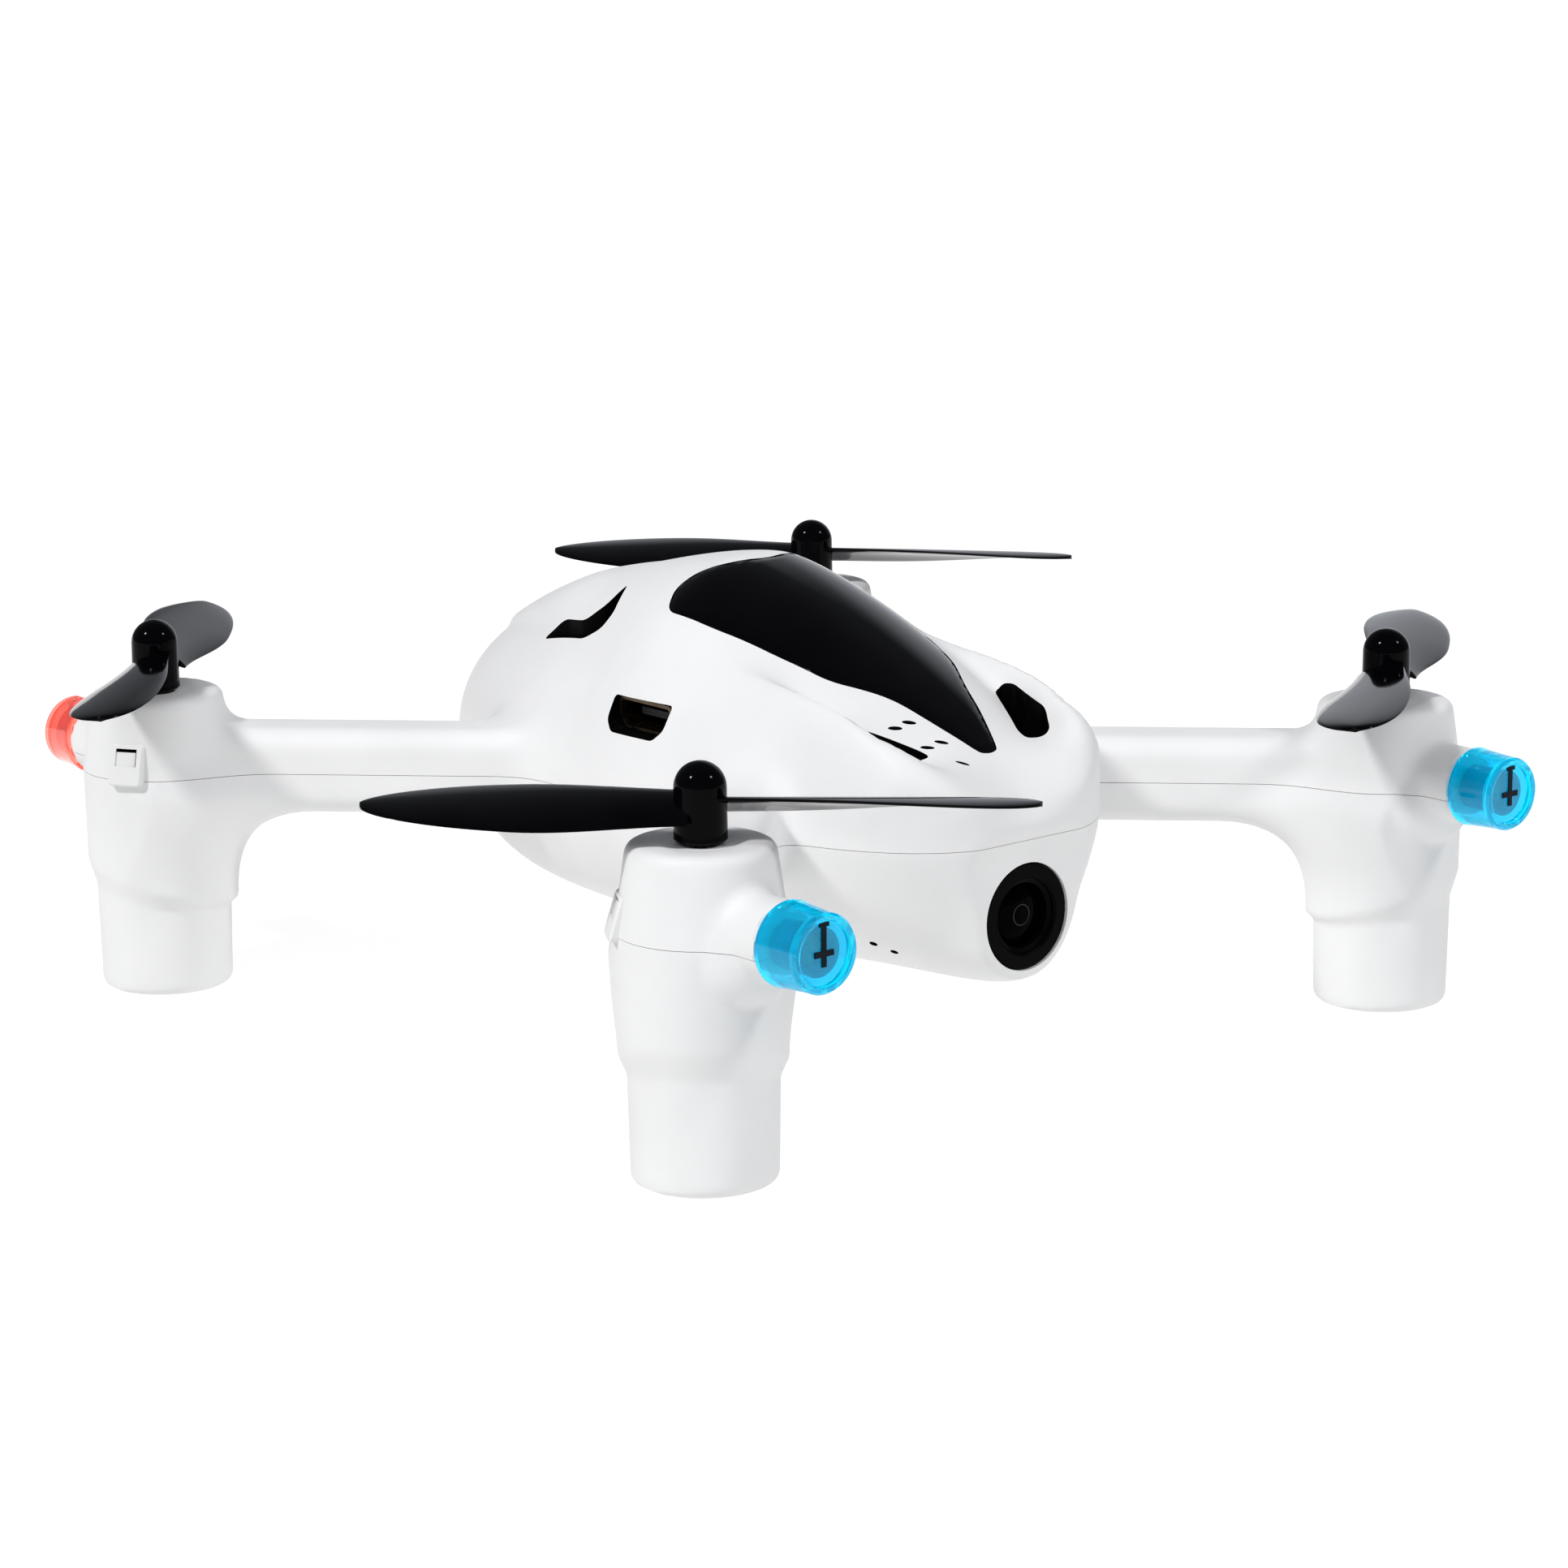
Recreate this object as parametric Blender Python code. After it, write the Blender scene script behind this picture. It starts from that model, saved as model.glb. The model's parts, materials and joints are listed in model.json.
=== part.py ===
"""Mini palm drone: two moulded shells with four motor pods, propellers, lights, camera and battery.

Metres, +Z up. The origin lies on the ground below the middle of the four motor axes.
The nose points along -Y, so the drone's right side is -X.
"""

import math

import bmesh
import bpy
from mathutils import Matrix, Vector

# Fits and walls
FIT = 0.0003
SHELL_WALL = 0.0016
SEAM_GAP = 0.0003

# Hull: nose, tail, widest place, roof crest and keel
HULL_NOSE_Y = -0.0378
HULL_TAIL_Y = 0.0412
HULL_HALF_WIDTH = 0.0190
HULL_WIDEST_Y = -0.0050
HULL_SEAM_Z = 0.0214
HULL_CREST_Z = 0.0423
HULL_CREST_Y = 0.0010
HULL_KEEL_Z = 0.0066
HULL_KEEL_Y = 0.0050
KEEL_RAKE = 0.03
HULL_STATIONS = 24
HULL_SIDES = 32
CAVITY_STATIONS = 15
CAVITY_SIDES = 20

# Raised brow that runs round the front of the canopy
BROW_HEIGHT = 0.0026
BROW_START_Y = -0.0110
BROW_RUN = 0.0100
BROW_SPREAD = 0.17
BROW_INSET_SIDE = 0.0040
BROW_INSET_NOSE = 0.0014

# Motor pods and legs
MOTOR_PITCH = 0.0825
FOOT_RADIUS = 0.0062
FOOT_ROUND = 0.0008
LEG_RADIUS = 0.0064
LEG_STEP_Z = 0.0098
LEG_STEP_RISE = 0.0024
LEG_STEP_SLANT = 0.25
POD_RADIUS = 0.00725
POD_TOP_Z = 0.0284
POD_TOP_RADIUS = 0.0063
POD_ROUND = 0.0013
POD_SIDES = 20
LEG_FLOOR = 0.0016

# Arms
ARM_HALF_WIDTH = 0.0036
ARM_TOP_Z = 0.0257
ARM_BOTTOM_Z = 0.0174
ARM_UNDER_FILLET = 0.0045
ARM_OVER_FILLET = 0.0026
ARM_ROOT = 0.0170
ARM_FLARE = 0.0030
ARM_FLARE_RUN = 0.0080
ARM_SIDES = 12
ARM_DUCT_RADIUS = 0.0021

# Snap tabs of the upper shell, on the outer side of each pod
TAB_WIDTH = 0.0042
TAB_PROUD = 0.0009
TAB_TOP_Z = 0.0252
TAB_LAP = 0.0010
TAB_TURN = 147.8

# Lights
LED_AXIS_Z = 0.0224
LED_BOSS_RADIUS = 0.0034
LED_BOSS_REACH = 0.0108
LED_CAP_RADIUS = 0.0036
LED_CAP_END_RADIUS = 0.00335
LED_CAP_LENGTH = 0.0046
LED_CAP_WALL = 0.0007
LED_SIDES = 20
LED_BODY_RADIUS = 0.0015
LED_BODY_LENGTH = 0.0052

# Motors
MOTOR_RADIUS = 0.00425
MOTOR_LENGTH = 0.0200
MOTOR_SEAT_Z = 0.0059
MOTOR_ROUND = 0.0005
SHAFT_RADIUS = 0.0005
SHAFT_DEPTH = 0.0030
BUSH_RADIUS = 0.0014
BUSH_HEIGHT = 0.0017
END_CAP_RADIUS = 0.0026
END_CAP_HEIGHT = 0.0014
LEAD_RADIUS = 0.0005
LEAD_GROOVE_RADIUS = 0.0009

# Propellers: angle of each blade line at rest, and turning sense seen from above
PROP_DIAMETER = 0.0570
PROP_HUB_RADIUS = 0.0022
PROP_HUB_BASE_Z = 0.0290
PROP_HUB_TOP_Z = 0.0356
PROP_BLADE_Z = 0.0320
BLADE_CHORD = 0.0083
BLADE_ROOT_CHORD = 0.0048
BLADE_WIDEST = 0.70
BLADE_OFFSET = 0.13
BLADE_THICKNESS = 0.0008
BLADE_TIP_THICKNESS = 0.0005
BLADE_ROOT_PITCH = 25.0
BLADE_TIP_PITCH = 5.5
BLADE_STATIONS = 10

# Camera in the nose
LENS_Z = 0.0142
LENS_FACE_Y = -0.0363
BEZEL_RADIUS = 0.00485
BEZEL_OPENING = 0.0030
BEZEL_DEPTH = 0.0014
BARREL_RADIUS = 0.0039
BARREL_LENGTH = 0.0048
GLASS_THICKNESS = 0.0009
CAMERA_BOARD_WIDTH = 0.0090
CAMERA_BOARD_HEIGHT = 0.0080
CAMERA_BOARD_LIFT = 0.0010
BOARD_THICKNESS = 0.0010

# Side, front and rear openings of the upper shell
USB_Y = -0.0017
USB_Z = 0.0292
USB_OPENING_WIDTH = 0.0080
USB_OPENING_HEIGHT = 0.0034
USB_SHELL_WIDTH = 0.0072
USB_SHELL_HEIGHT = 0.0026
USB_SHELL_DEPTH = 0.0052
USB_SHELL_WALL = 0.0003
USB_RECESS = 0.0006
INTAKE_X = 0.0092
INTAKE_Y = -0.0262
INTAKE_LENGTH = 0.0060
INTAKE_WIDTH = 0.0034
INTAKE_TURN = 18.0
VENT_START = (0.0112, 0.0200)
VENT_BEND = (0.0112, 0.0122)
VENT_END = (0.0062, 0.0130)
VENT_WIDTH = 0.0022

# Canopy window
WINDOW_THICKNESS = 0.0009
WINDOW_LEDGE = 0.0010

# Main board and its screws
BOARD_Z = 0.0262
BOARD_HALF_WIDTH = 0.0122
BOARD_FRONT_Y = -0.0150
BOARD_REAR_Y = 0.0170
BOSS_X = 0.0090
BOSS_RADIUS = 0.0018
SCREW_RADIUS = 0.0006
SCREW_HEAD_RADIUS = 0.0014
SCREW_HEAD_HEIGHT = 0.0009
SCREW_GRIP = 0.0030
CHIP_SIZE = 0.0060
CHIP_HEIGHT = 0.0009
RADIO_LENGTH = 0.0080
RADIO_WIDTH = 0.0100
RADIO_HEIGHT = 0.0018

# Battery and its tail cover
BATTERY_HALF_WIDTH = 0.0068
BATTERY_BOTTOM_Z = 0.0124
BATTERY_HEIGHT = 0.0078
BATTERY_FRONT_Y = -0.0100
BATTERY_ROUND = 0.0012
COVER_FRONT_Y = 0.0320
COVER_TOP_DROP = 0.0006
RAIL_X = 0.0040
RAIL_WIDTH = 0.0014
CONNECTOR_WIDTH = 0.0090
CONNECTOR_DEPTH = 0.0030
CONNECTOR_HEIGHT = 0.0050
RIBBON_WIDTH = 0.0050
RIBBON_THICKNESS = 0.0003

HALF_PITCH = MOTOR_PITCH / 2
PODS = {
    "front_right": (-1, -1, -44.5, -1),
    "front_left": (1, -1, 39.0, 1),
    "rear_right": (-1, 1, 50.0, 1),
    "rear_left": (1, 1, -50.0, -1),
}
FAR = 0.2
MERGE = 0.000002


# Materials and small helpers


def make_material(name, colour, roughness, metallic=0.0):
    material = bpy.data.materials.new(name)
    material.use_nodes = True
    shader = material.node_tree.nodes["Principled BSDF"]
    shader.inputs["Base Color"].default_value = (*colour, 1.0)
    shader.inputs["Roughness"].default_value = roughness
    shader.inputs["Metallic"].default_value = metallic
    return material


def mesh_object(name, bm, material=None):
    bmesh.ops.recalc_face_normals(bm, faces=bm.faces)
    mesh = bpy.data.meshes.new(name)
    bm.to_mesh(mesh)
    bm.free()
    mesh.shade_smooth()
    mesh.set_sharp_from_angle(angle=math.radians(35))
    if material:
        mesh.materials.append(material)
    obj = bpy.data.objects.new(name, mesh)
    bpy.context.scene.collection.objects.link(obj)
    return obj


def loft(name, rings, material=None):
    """A closed skin over rings of equal point count, with both ends capped."""
    bm = bmesh.new()
    loops = [[bm.verts.new(point) for point in ring] for ring in rings]
    for low, high in zip(loops, loops[1:]):
        count = len(low)
        for i in range(count):
            j = (i + 1) % count
            bm.faces.new((low[i], low[j], high[j], high[i]))
    bm.faces.new(loops[0])
    bm.faces.new(loops[-1])
    bmesh.ops.triangulate(bm, faces=bm.faces)
    return mesh_object(name, bm, material)


def circle(radius, z, sides, slant=0.0, toward=(1.0, 0.0)):
    """A ring about Z whose height follows a slanted plane that rises toward one side."""
    points = []
    for i in range(sides):
        angle = 2 * math.pi * (i + 0.37) / sides
        x, y = radius * math.cos(angle), radius * math.sin(angle)
        points.append(Vector((x, y, z + slant * (x * toward[0] + y * toward[1]))))
    return points


def turned(name, profile, sides, material=None, matrix=None):
    """A turned solid about Z from (radius, height) pairs, moved by a matrix."""
    rings = [circle(radius, z, sides) for radius, z in profile]
    obj = loft(name, rings, material)
    if matrix:
        obj.data.transform(matrix)
    return obj


def block(name, low, high, material=None, round_by=0.0):
    bm = bmesh.new()
    bmesh.ops.create_cube(bm, size=1.0)
    for vert in bm.verts:
        for axis in range(3):
            vert.co[axis] = high[axis] if vert.co[axis] > 0 else low[axis]
    if round_by:
        bmesh.ops.bevel(bm, geom=bm.edges[:], offset=round_by, segments=2, affect="EDGES", profile=0.5)
    return mesh_object(name, bm, material)


def combine(target, others, operation):
    """Boolean of the target with each helper in turn. The helpers are used up."""
    for other in others:
        modifier = target.modifiers.new(operation.lower(), "BOOLEAN")
        modifier.operation = operation
        modifier.solver = "EXACT"
        modifier.object = other
        graph = bpy.context.evaluated_depsgraph_get()
        mesh = bpy.data.meshes.new_from_object(target.evaluated_get(graph))
        target.modifiers.clear()
        target.data = mesh
        bpy.data.objects.remove(other)
        clean(mesh)
    return target


def clean(mesh):
    """Merge the slivers that a Boolean leaves, and shade the round faces smooth."""
    bm = bmesh.new()
    bm.from_mesh(mesh)
    bmesh.ops.remove_doubles(bm, verts=bm.verts, dist=MERGE)
    bmesh.ops.dissolve_degenerate(bm, dist=MERGE, edges=bm.edges)
    bmesh.ops.triangulate(bm, faces=bm.faces)
    bm.to_mesh(mesh)
    bm.free()
    mesh.shade_smooth()
    mesh.set_sharp_from_angle(angle=math.radians(35))


def give(obj, name, material):
    obj.name = name
    obj.data.materials.clear()
    obj.data.materials.append(material)
    return obj


def set_origin(obj, point):
    """Put the object's origin at a point without moving its shape."""
    obj.data.transform(Matrix.Translation(-Vector(point)))
    obj.location = point


def blend(t):
    t = min(max(t, 0.0), 1.0)
    return t * t * (3 - 2 * t)


# Hull form


def dome(ratio, power, root):
    return max(0.0, 1 - min(max(ratio, 0.0), 1.0) ** power) ** root


def reach(y, middle):
    """Share of the way from a middle station to the nose or the tail."""
    if y < middle:
        return (middle - y) / (middle - HULL_NOSE_Y)
    return (y - middle) / (HULL_TAIL_Y - middle)


def hull_half_width(y):
    power = 2.5 if y < HULL_WIDEST_Y else 2.15
    return HULL_HALF_WIDTH * dome(reach(y, HULL_WIDEST_Y), power, 1 / power)


def hull_roof(y):
    power, root = (1.8, 0.74) if y < HULL_CREST_Y else (1.35, 0.5)
    return HULL_SEAM_Z + (HULL_CREST_Z - HULL_SEAM_Z) * dome(reach(y, HULL_CREST_Y), power, root)


def hull_belly(y):
    power, root = (17.0, 0.2) if y < HULL_KEEL_Y else (4.7, 0.5)
    keel = HULL_KEEL_Z + KEEL_RAKE * max(HULL_KEEL_Y - y, 0.0)
    return HULL_SEAM_Z - (HULL_SEAM_Z - keel) * dome(reach(y, HULL_KEEL_Y), power, root)


def roof_fullness(y):
    ratio = reach(y, HULL_WIDEST_Y)
    if y < HULL_WIDEST_Y:
        return 1.47 + 0.83 * blend((ratio - 0.25) / 0.7)
    return 1.47 + 0.58 * ratio**1.3


def belly_fullness(y):
    return 2.0 - 0.25 * blend(reach(y, HULL_WIDEST_Y)) if y < HULL_WIDEST_Y else 2.0


def brow(x, y):
    """Height of the raised brow above the plain canopy."""
    across = abs(x) / (HULL_HALF_WIDTH - BROW_INSET_SIDE)
    ahead = max(HULL_WIDEST_Y - y, 0.0) / (HULL_WIDEST_Y - HULL_NOSE_Y - BROW_INSET_NOSE)
    ratio = (across**2.5 + ahead**2.5) ** 0.4
    along = blend((BROW_START_Y - y) / BROW_RUN) * (0.35 + 0.65 * blend(across - 0.2))
    return BROW_HEIGHT * along * math.exp(-(((ratio - 1) / BROW_SPREAD) ** 2))


def hull_ring(y, inset, sides):
    """One cross-section, with every outer size drawn in by the inset."""
    width = max(hull_half_width(y) - inset, 0.0004)
    up = max(hull_roof(y) - HULL_SEAM_Z - inset, 0.0004)
    down = max(HULL_SEAM_Z - hull_belly(y) - inset, 0.0004)
    ring = []
    for i in range(sides):
        angle = 2 * math.pi * i / sides
        c, s = math.cos(angle), math.sin(angle)
        power = 2 / (roof_fullness(y) if s > 0 else belly_fullness(y))
        x = math.copysign(width * abs(c) ** power, c)
        z = math.copysign((up if s > 0 else down) * abs(s) ** power, s)
        if s > 0:
            z += brow(x, y) * blend(z / 0.004)
        ring.append(Vector((x, y, HULL_SEAM_Z + z)))
    return ring


def hull_solid(name, inset=0.0, stations=HULL_STATIONS, sides=HULL_SIDES):
    middle = (HULL_NOSE_Y + HULL_TAIL_Y) / 2
    half = (HULL_TAIL_Y - HULL_NOSE_Y) / 2 - inset
    rings = []
    for i in range(stations):
        share = -math.cos(math.pi * (i + 0.35) / (stations - 0.3))
        rings.append(hull_ring(middle + half * share, inset, sides))
    return loft(name, rings)


def canopy_height(x, y, inset=0.0):
    """Height of the canopy over a place in plan."""
    width = max(hull_half_width(y) - inset, 0.0004)
    power = roof_fullness(y)
    share = dome(abs(x) / width, power, 1 / power)
    rise = (hull_roof(y) - HULL_SEAM_Z - inset) * share
    return HULL_SEAM_Z + rise + brow(x, y) * blend(rise / 0.004)


# Arms and pods, each in a frame whose +X runs from the hull outward


def pod_matrix(side_x, side_y):
    return Matrix.Translation((side_x * HALF_PITCH, side_y * HALF_PITCH, 0.0))


def arm_turn(side_x, side_y):
    return Matrix.Rotation(math.atan2(side_y, side_x), 4, "Z")


def arm_ring(distance, top, bottom, half_width):
    """A rounded section of an arm at a distance from the origin."""
    middle, half_height = (top + bottom) / 2, (top - bottom) / 2
    ring = []
    for i in range(ARM_SIDES):
        angle = 2 * math.pi * (i + 0.5) / ARM_SIDES
        c, s = math.cos(angle), math.sin(angle)
        y = math.copysign(half_width * abs(c) ** 0.62, c)
        z = math.copysign(half_height * abs(s) ** 0.62, s)
        ring.append(Vector((distance, y, middle + z)))
    return ring


def fillet_drop(distance, wall, radius):
    """How far a round fillet has risen at a distance from the wall it meets."""
    run = min(max(wall + radius - distance, 0.0), radius)
    return radius - math.sqrt(max(radius * radius - run * run, 0.0))


def arm_solid(name, side_x, side_y):
    axis = math.hypot(HALF_PITCH, HALF_PITCH)
    wall = POD_RADIUS - 0.0004
    steps = 5
    offsets = [wall + ARM_UNDER_FILLET * (1 - i / steps) for i in range(steps + 1)]
    distances = [ARM_ROOT, ARM_ROOT + ARM_FLARE_RUN, ARM_ROOT + 2 * ARM_FLARE_RUN]
    distances += [axis - offset for offset in offsets] + [axis - wall / 2]
    rings = []
    for distance in distances:
        from_axis = axis - distance
        flare = ARM_FLARE * (1 - blend((distance - ARM_ROOT) / (2 * ARM_FLARE_RUN)))
        top = ARM_TOP_Z + fillet_drop(from_axis, wall, ARM_OVER_FILLET) * 0.9
        bottom = ARM_BOTTOM_Z - fillet_drop(from_axis, wall, ARM_UNDER_FILLET)
        rings.append(arm_ring(distance, top + flare * 0.3, bottom - flare * 0.3, ARM_HALF_WIDTH + flare))
    obj = loft(name, rings)
    obj.data.transform(arm_turn(side_x, side_y))
    return obj


def pod_solid(name, side_x, side_y):
    toward = (side_x / math.sqrt(2), side_y / math.sqrt(2))
    low, high = LEG_STEP_Z - LEG_STEP_RISE / 2, LEG_STEP_Z + LEG_STEP_RISE / 2
    rings = [
        circle(FOOT_RADIUS - FOOT_ROUND, 0.0, POD_SIDES),
        circle(FOOT_RADIUS - FOOT_ROUND * 0.3, FOOT_ROUND * 0.3, POD_SIDES),
        circle(FOOT_RADIUS, FOOT_ROUND, POD_SIDES),
        circle(LEG_RADIUS, low, POD_SIDES, LEG_STEP_SLANT, toward),
        circle(POD_RADIUS - 0.00015, high, POD_SIDES, LEG_STEP_SLANT, toward),
        circle(POD_RADIUS, HULL_SEAM_Z + FIT, POD_SIDES),
        circle(POD_TOP_RADIUS + POD_ROUND * 0.3, POD_TOP_Z - POD_ROUND * 1.6, POD_SIDES),
        circle(POD_TOP_RADIUS - POD_ROUND * 0.25, POD_TOP_Z - POD_ROUND * 0.4, POD_SIDES),
        circle(POD_TOP_RADIUS - POD_ROUND, POD_TOP_Z, POD_SIDES),
    ]
    obj = loft(name, rings)
    obj.data.transform(pod_matrix(side_x, side_y))
    return obj


def led_matrix(side_x, side_y):
    """Frame whose +Z runs out along a light's axis from its pod's axis."""
    turn = Vector((0.0, side_y, 0.0)).to_track_quat("Z", "Y").to_matrix().to_4x4()
    return Matrix.Translation((side_x * HALF_PITCH, side_y * HALF_PITCH, LED_AXIS_Z)) @ turn


def tab_matrix(side_x, side_y):
    """Frame at a pod's axis whose +X points at its snap tab."""
    angle = math.radians(TAB_TURN)
    return pod_matrix(side_x, side_y) @ Matrix.Rotation(
        math.atan2(-side_y * math.sin(angle), -side_x * math.cos(angle)), 4, "Z"
    )


# Shells


def window_outline(grow):
    """Half outline of the canopy window in plan, mirrored, with its edge moved out by grow."""
    right = [
        (0.0000, -0.0006), (0.0030, 0.0008), (0.0058, 0.0036), (0.0075, 0.0043), (0.0086, 0.0032),
        (0.0085, -0.0040), (0.0079, -0.0110), (0.0069, -0.0172), (0.0058, -0.0195), (0.0041, -0.0215),
        (0.0035, -0.0242), (0.0017, -0.0296), (0.0000, -0.0310),
    ]
    points = [Vector(p) for p in right] + [Vector((-x, y)) for x, y in right[-2:0:-1]]
    count = len(points)
    grown = []
    for i in range(count):
        ahead = (points[(i + 1) % count] - points[i]).normalized()
        behind = (points[i] - points[i - 1]).normalized()
        normal = Vector((-ahead.y - behind.y, ahead.x + behind.x)).normalized()
        lean = max(normal.dot(Vector((-ahead.y, ahead.x))), 0.5)
        grown.append(points[i] + normal * grow / lean)
    return grown


def plan_prism(name, outline, low, high):
    return loft(name, [[Vector((p.x, p.y, z)) for p in outline] for z in (low, high)])


def slot_outline(start, end, width, ends=4):
    """A straight slot with round ends, in plan."""
    start, end = Vector(start), Vector(end)
    along = (end - start).normalized()
    points = []
    for centre, sign in ((end, 1), (start, -1)):
        for i in range(ends + 1):
            angle = math.atan2(along.y * sign, along.x * sign) - math.pi / 2 + math.pi * i / ends
            points.append(centre + Vector((math.cos(angle), math.sin(angle))) * width / 2)
    return points


def front_and_rear_openings():
    """Cutters for the two intakes and the two bent vents behind the window."""
    cutters = []
    turn = math.radians(INTAKE_TURN)
    half = (INTAKE_LENGTH - INTAKE_WIDTH) / 2
    for side in (-1, 1):
        centre = Vector((side * INTAKE_X, INTAKE_Y))
        step = Vector((side * math.sin(turn), math.cos(turn))) * half
        outline = slot_outline(centre - step, centre + step, INTAKE_WIDTH)
        cutters.append(plan_prism("intake_cut", outline, BOARD_Z, FAR))
        path = [Vector((side * x, y)) for x, y in (VENT_START, VENT_BEND, VENT_END)]
        for start, end in zip(path, path[1:]):
            outline = slot_outline(start, end, VENT_WIDTH)
            cutters.append(plan_prism("vent_cut", outline, BOARD_Z + 0.003, FAR))
    return cutters


def pod_cutters(side_x, side_y):
    """Motor bore, lead well, lead groove, arm duct, light bore and bush hole of one pod."""
    place = pod_matrix(side_x, side_y)
    bore = MOTOR_RADIUS + FIT
    motor_top = MOTOR_SEAT_Z + FIT + MOTOR_LENGTH
    well = [(END_CAP_RADIUS + 2 * FIT, LEG_FLOOR), (END_CAP_RADIUS + 2 * FIT, MOTOR_SEAT_Z + FIT)]
    cutters = [
        turned("bore", [(bore, MOTOR_SEAT_Z), (bore, motor_top + FIT)], 16, None, place),
        turned("well", well, 10, None, place),
        turned("hole", [(BUSH_RADIUS + FIT, motor_top), (BUSH_RADIUS + FIT, FAR)], 12, None, place),
    ]
    inward = Vector((-side_x, -side_y, 0.0)).normalized()
    groove = place @ Matrix.Translation(inward * lead_offset())
    radius = LEAD_GROOVE_RADIUS
    slot = [(radius, MOTOR_SEAT_Z - FIT), (radius, ARM_BOTTOM_Z + 0.006)]
    cutters.append(turned("groove", slot, 8, None, groove))
    duct_turn = arm_turn(side_x, side_y) @ Matrix.Rotation(math.pi / 2, 4, "Y")
    duct_place = Matrix.Translation((0.0, 0.0, HULL_SEAM_Z + 0.00013)) @ duct_turn
    reach_out = math.hypot(HALF_PITCH, HALF_PITCH) - MOTOR_RADIUS
    duct = [(ARM_DUCT_RADIUS, ARM_ROOT - 0.004), (ARM_DUCT_RADIUS, reach_out)]
    cutters.append(turned("duct", duct, 10, None, duct_place))
    light = [(LED_BODY_RADIUS + FIT, MOTOR_RADIUS), (LED_BODY_RADIUS + FIT, LED_BOSS_REACH + 0.002)]
    cutters.append(turned("light", light, 10, None, led_matrix(side_x, side_y)))
    return cutters


def lead_offset():
    """Distance of a motor lead from its motor's axis."""
    return MOTOR_RADIUS + FIT + LEAD_RADIUS


def outer_form():
    outer = hull_solid("outer")
    parts = []
    for side_x, side_y, _, _ in PODS.values():
        parts.append(arm_solid("arm", side_x, side_y))
        parts.append(pod_solid("pod", side_x, side_y))
        boss = [(LED_BOSS_RADIUS + 0.0012, POD_RADIUS - 0.003), (LED_BOSS_RADIUS, POD_RADIUS + 0.0014)]
        boss.append((LED_BOSS_RADIUS - 0.0001, LED_BOSS_REACH))
        parts.append(turned("boss", boss, 16, None, led_matrix(side_x, side_y)))
    return combine(outer, parts, "UNION")


def hollow(shell):
    cutters = [hull_solid("inside", SHELL_WALL, CAVITY_STATIONS, CAVITY_SIDES)]
    for side_x, side_y, _, _ in PODS.values():
        cutters += pod_cutters(side_x, side_y)
    return combine(shell, cutters, "DIFFERENCE")


def copy_of(obj, name):
    twin = obj.copy()
    twin.data = obj.data.copy()
    twin.name = name
    bpy.context.scene.collection.objects.link(twin)
    return twin


def tab_solid(side_x, side_y):
    """Snap tab that laps over the lower shell's wall."""
    face = POD_RADIUS + FIT
    tab = block("tab", (face, -TAB_WIDTH / 2, HULL_SEAM_Z - TAB_LAP),
                (face + TAB_PROUD, TAB_WIDTH / 2, TAB_TOP_Z))
    root = block("root", (POD_RADIUS - 0.0009, -TAB_WIDTH / 2 + 0.0002, HULL_SEAM_Z + 0.0009),
                 (face + TAB_PROUD / 2, TAB_WIDTH / 2 - 0.0002, TAB_TOP_Z - 0.0003))
    combine(tab, [root], "UNION")
    tab.data.transform(tab_matrix(side_x, side_y))
    return tab


def upper_shell(whole, material):
    shell = copy_of(whole, "upper_shell")
    low = HULL_SEAM_Z + SEAM_GAP / 2
    combine(shell, [block("above", (-FAR, -FAR, low), (FAR, FAR, FAR))], "INTERSECT")
    ledge = plan_prism("ledge", window_outline(FIT), BOARD_Z, FAR)
    combine(ledge, [hull_solid("below", WINDOW_THICKNESS + FIT)], "DIFFERENCE")
    hole = plan_prism("hole", window_outline(-WINDOW_LEDGE), BOARD_Z, FAR)
    slot = block("usb", (-FAR, USB_Y - USB_OPENING_WIDTH / 2, USB_Z - USB_OPENING_HEIGHT / 2),
                 (-BOARD_HALF_WIDTH, USB_Y + USB_OPENING_WIDTH / 2, USB_Z + USB_OPENING_HEIGHT / 2))
    combine(shell, [ledge, hole, slot] + front_and_rear_openings(), "DIFFERENCE")
    added = [tab_solid(side_x, side_y) for side_x, side_y, _, _ in PODS.values()]
    added += [screw_boss(x, y) for x, y in screw_places()]
    combine(shell, added, "UNION")
    pilot = SCREW_RADIUS + FIT / 2
    holes = []
    for x, y in screw_places():
        profile = [(pilot, BOARD_Z), (pilot, BOARD_Z + BOARD_THICKNESS + SCREW_GRIP + 2 * FIT)]
        holes.append(turned("pilot", profile, 12, None, Matrix.Translation((x, y, 0.0))))
    combine(shell, holes, "DIFFERENCE")
    return give(shell, "upper_shell", material)


def screw_places():
    front, rear = BOARD_FRONT_Y + 0.004, BOARD_REAR_Y - 0.003
    return [(x, y) for x in (-BOSS_X, BOSS_X) for y in (front, rear)]


def screw_boss(x, y):
    """Boss that hangs from the canopy's inner wall down to the board."""
    top = canopy_height(x, y, SHELL_WALL / 2) - 0.0002
    return turned("boss", [(BOSS_RADIUS, BOARD_Z + BOARD_THICKNESS + FIT), (BOSS_RADIUS, top)], 14, None,
                  Matrix.Translation((x, y, 0.0)))


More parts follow.
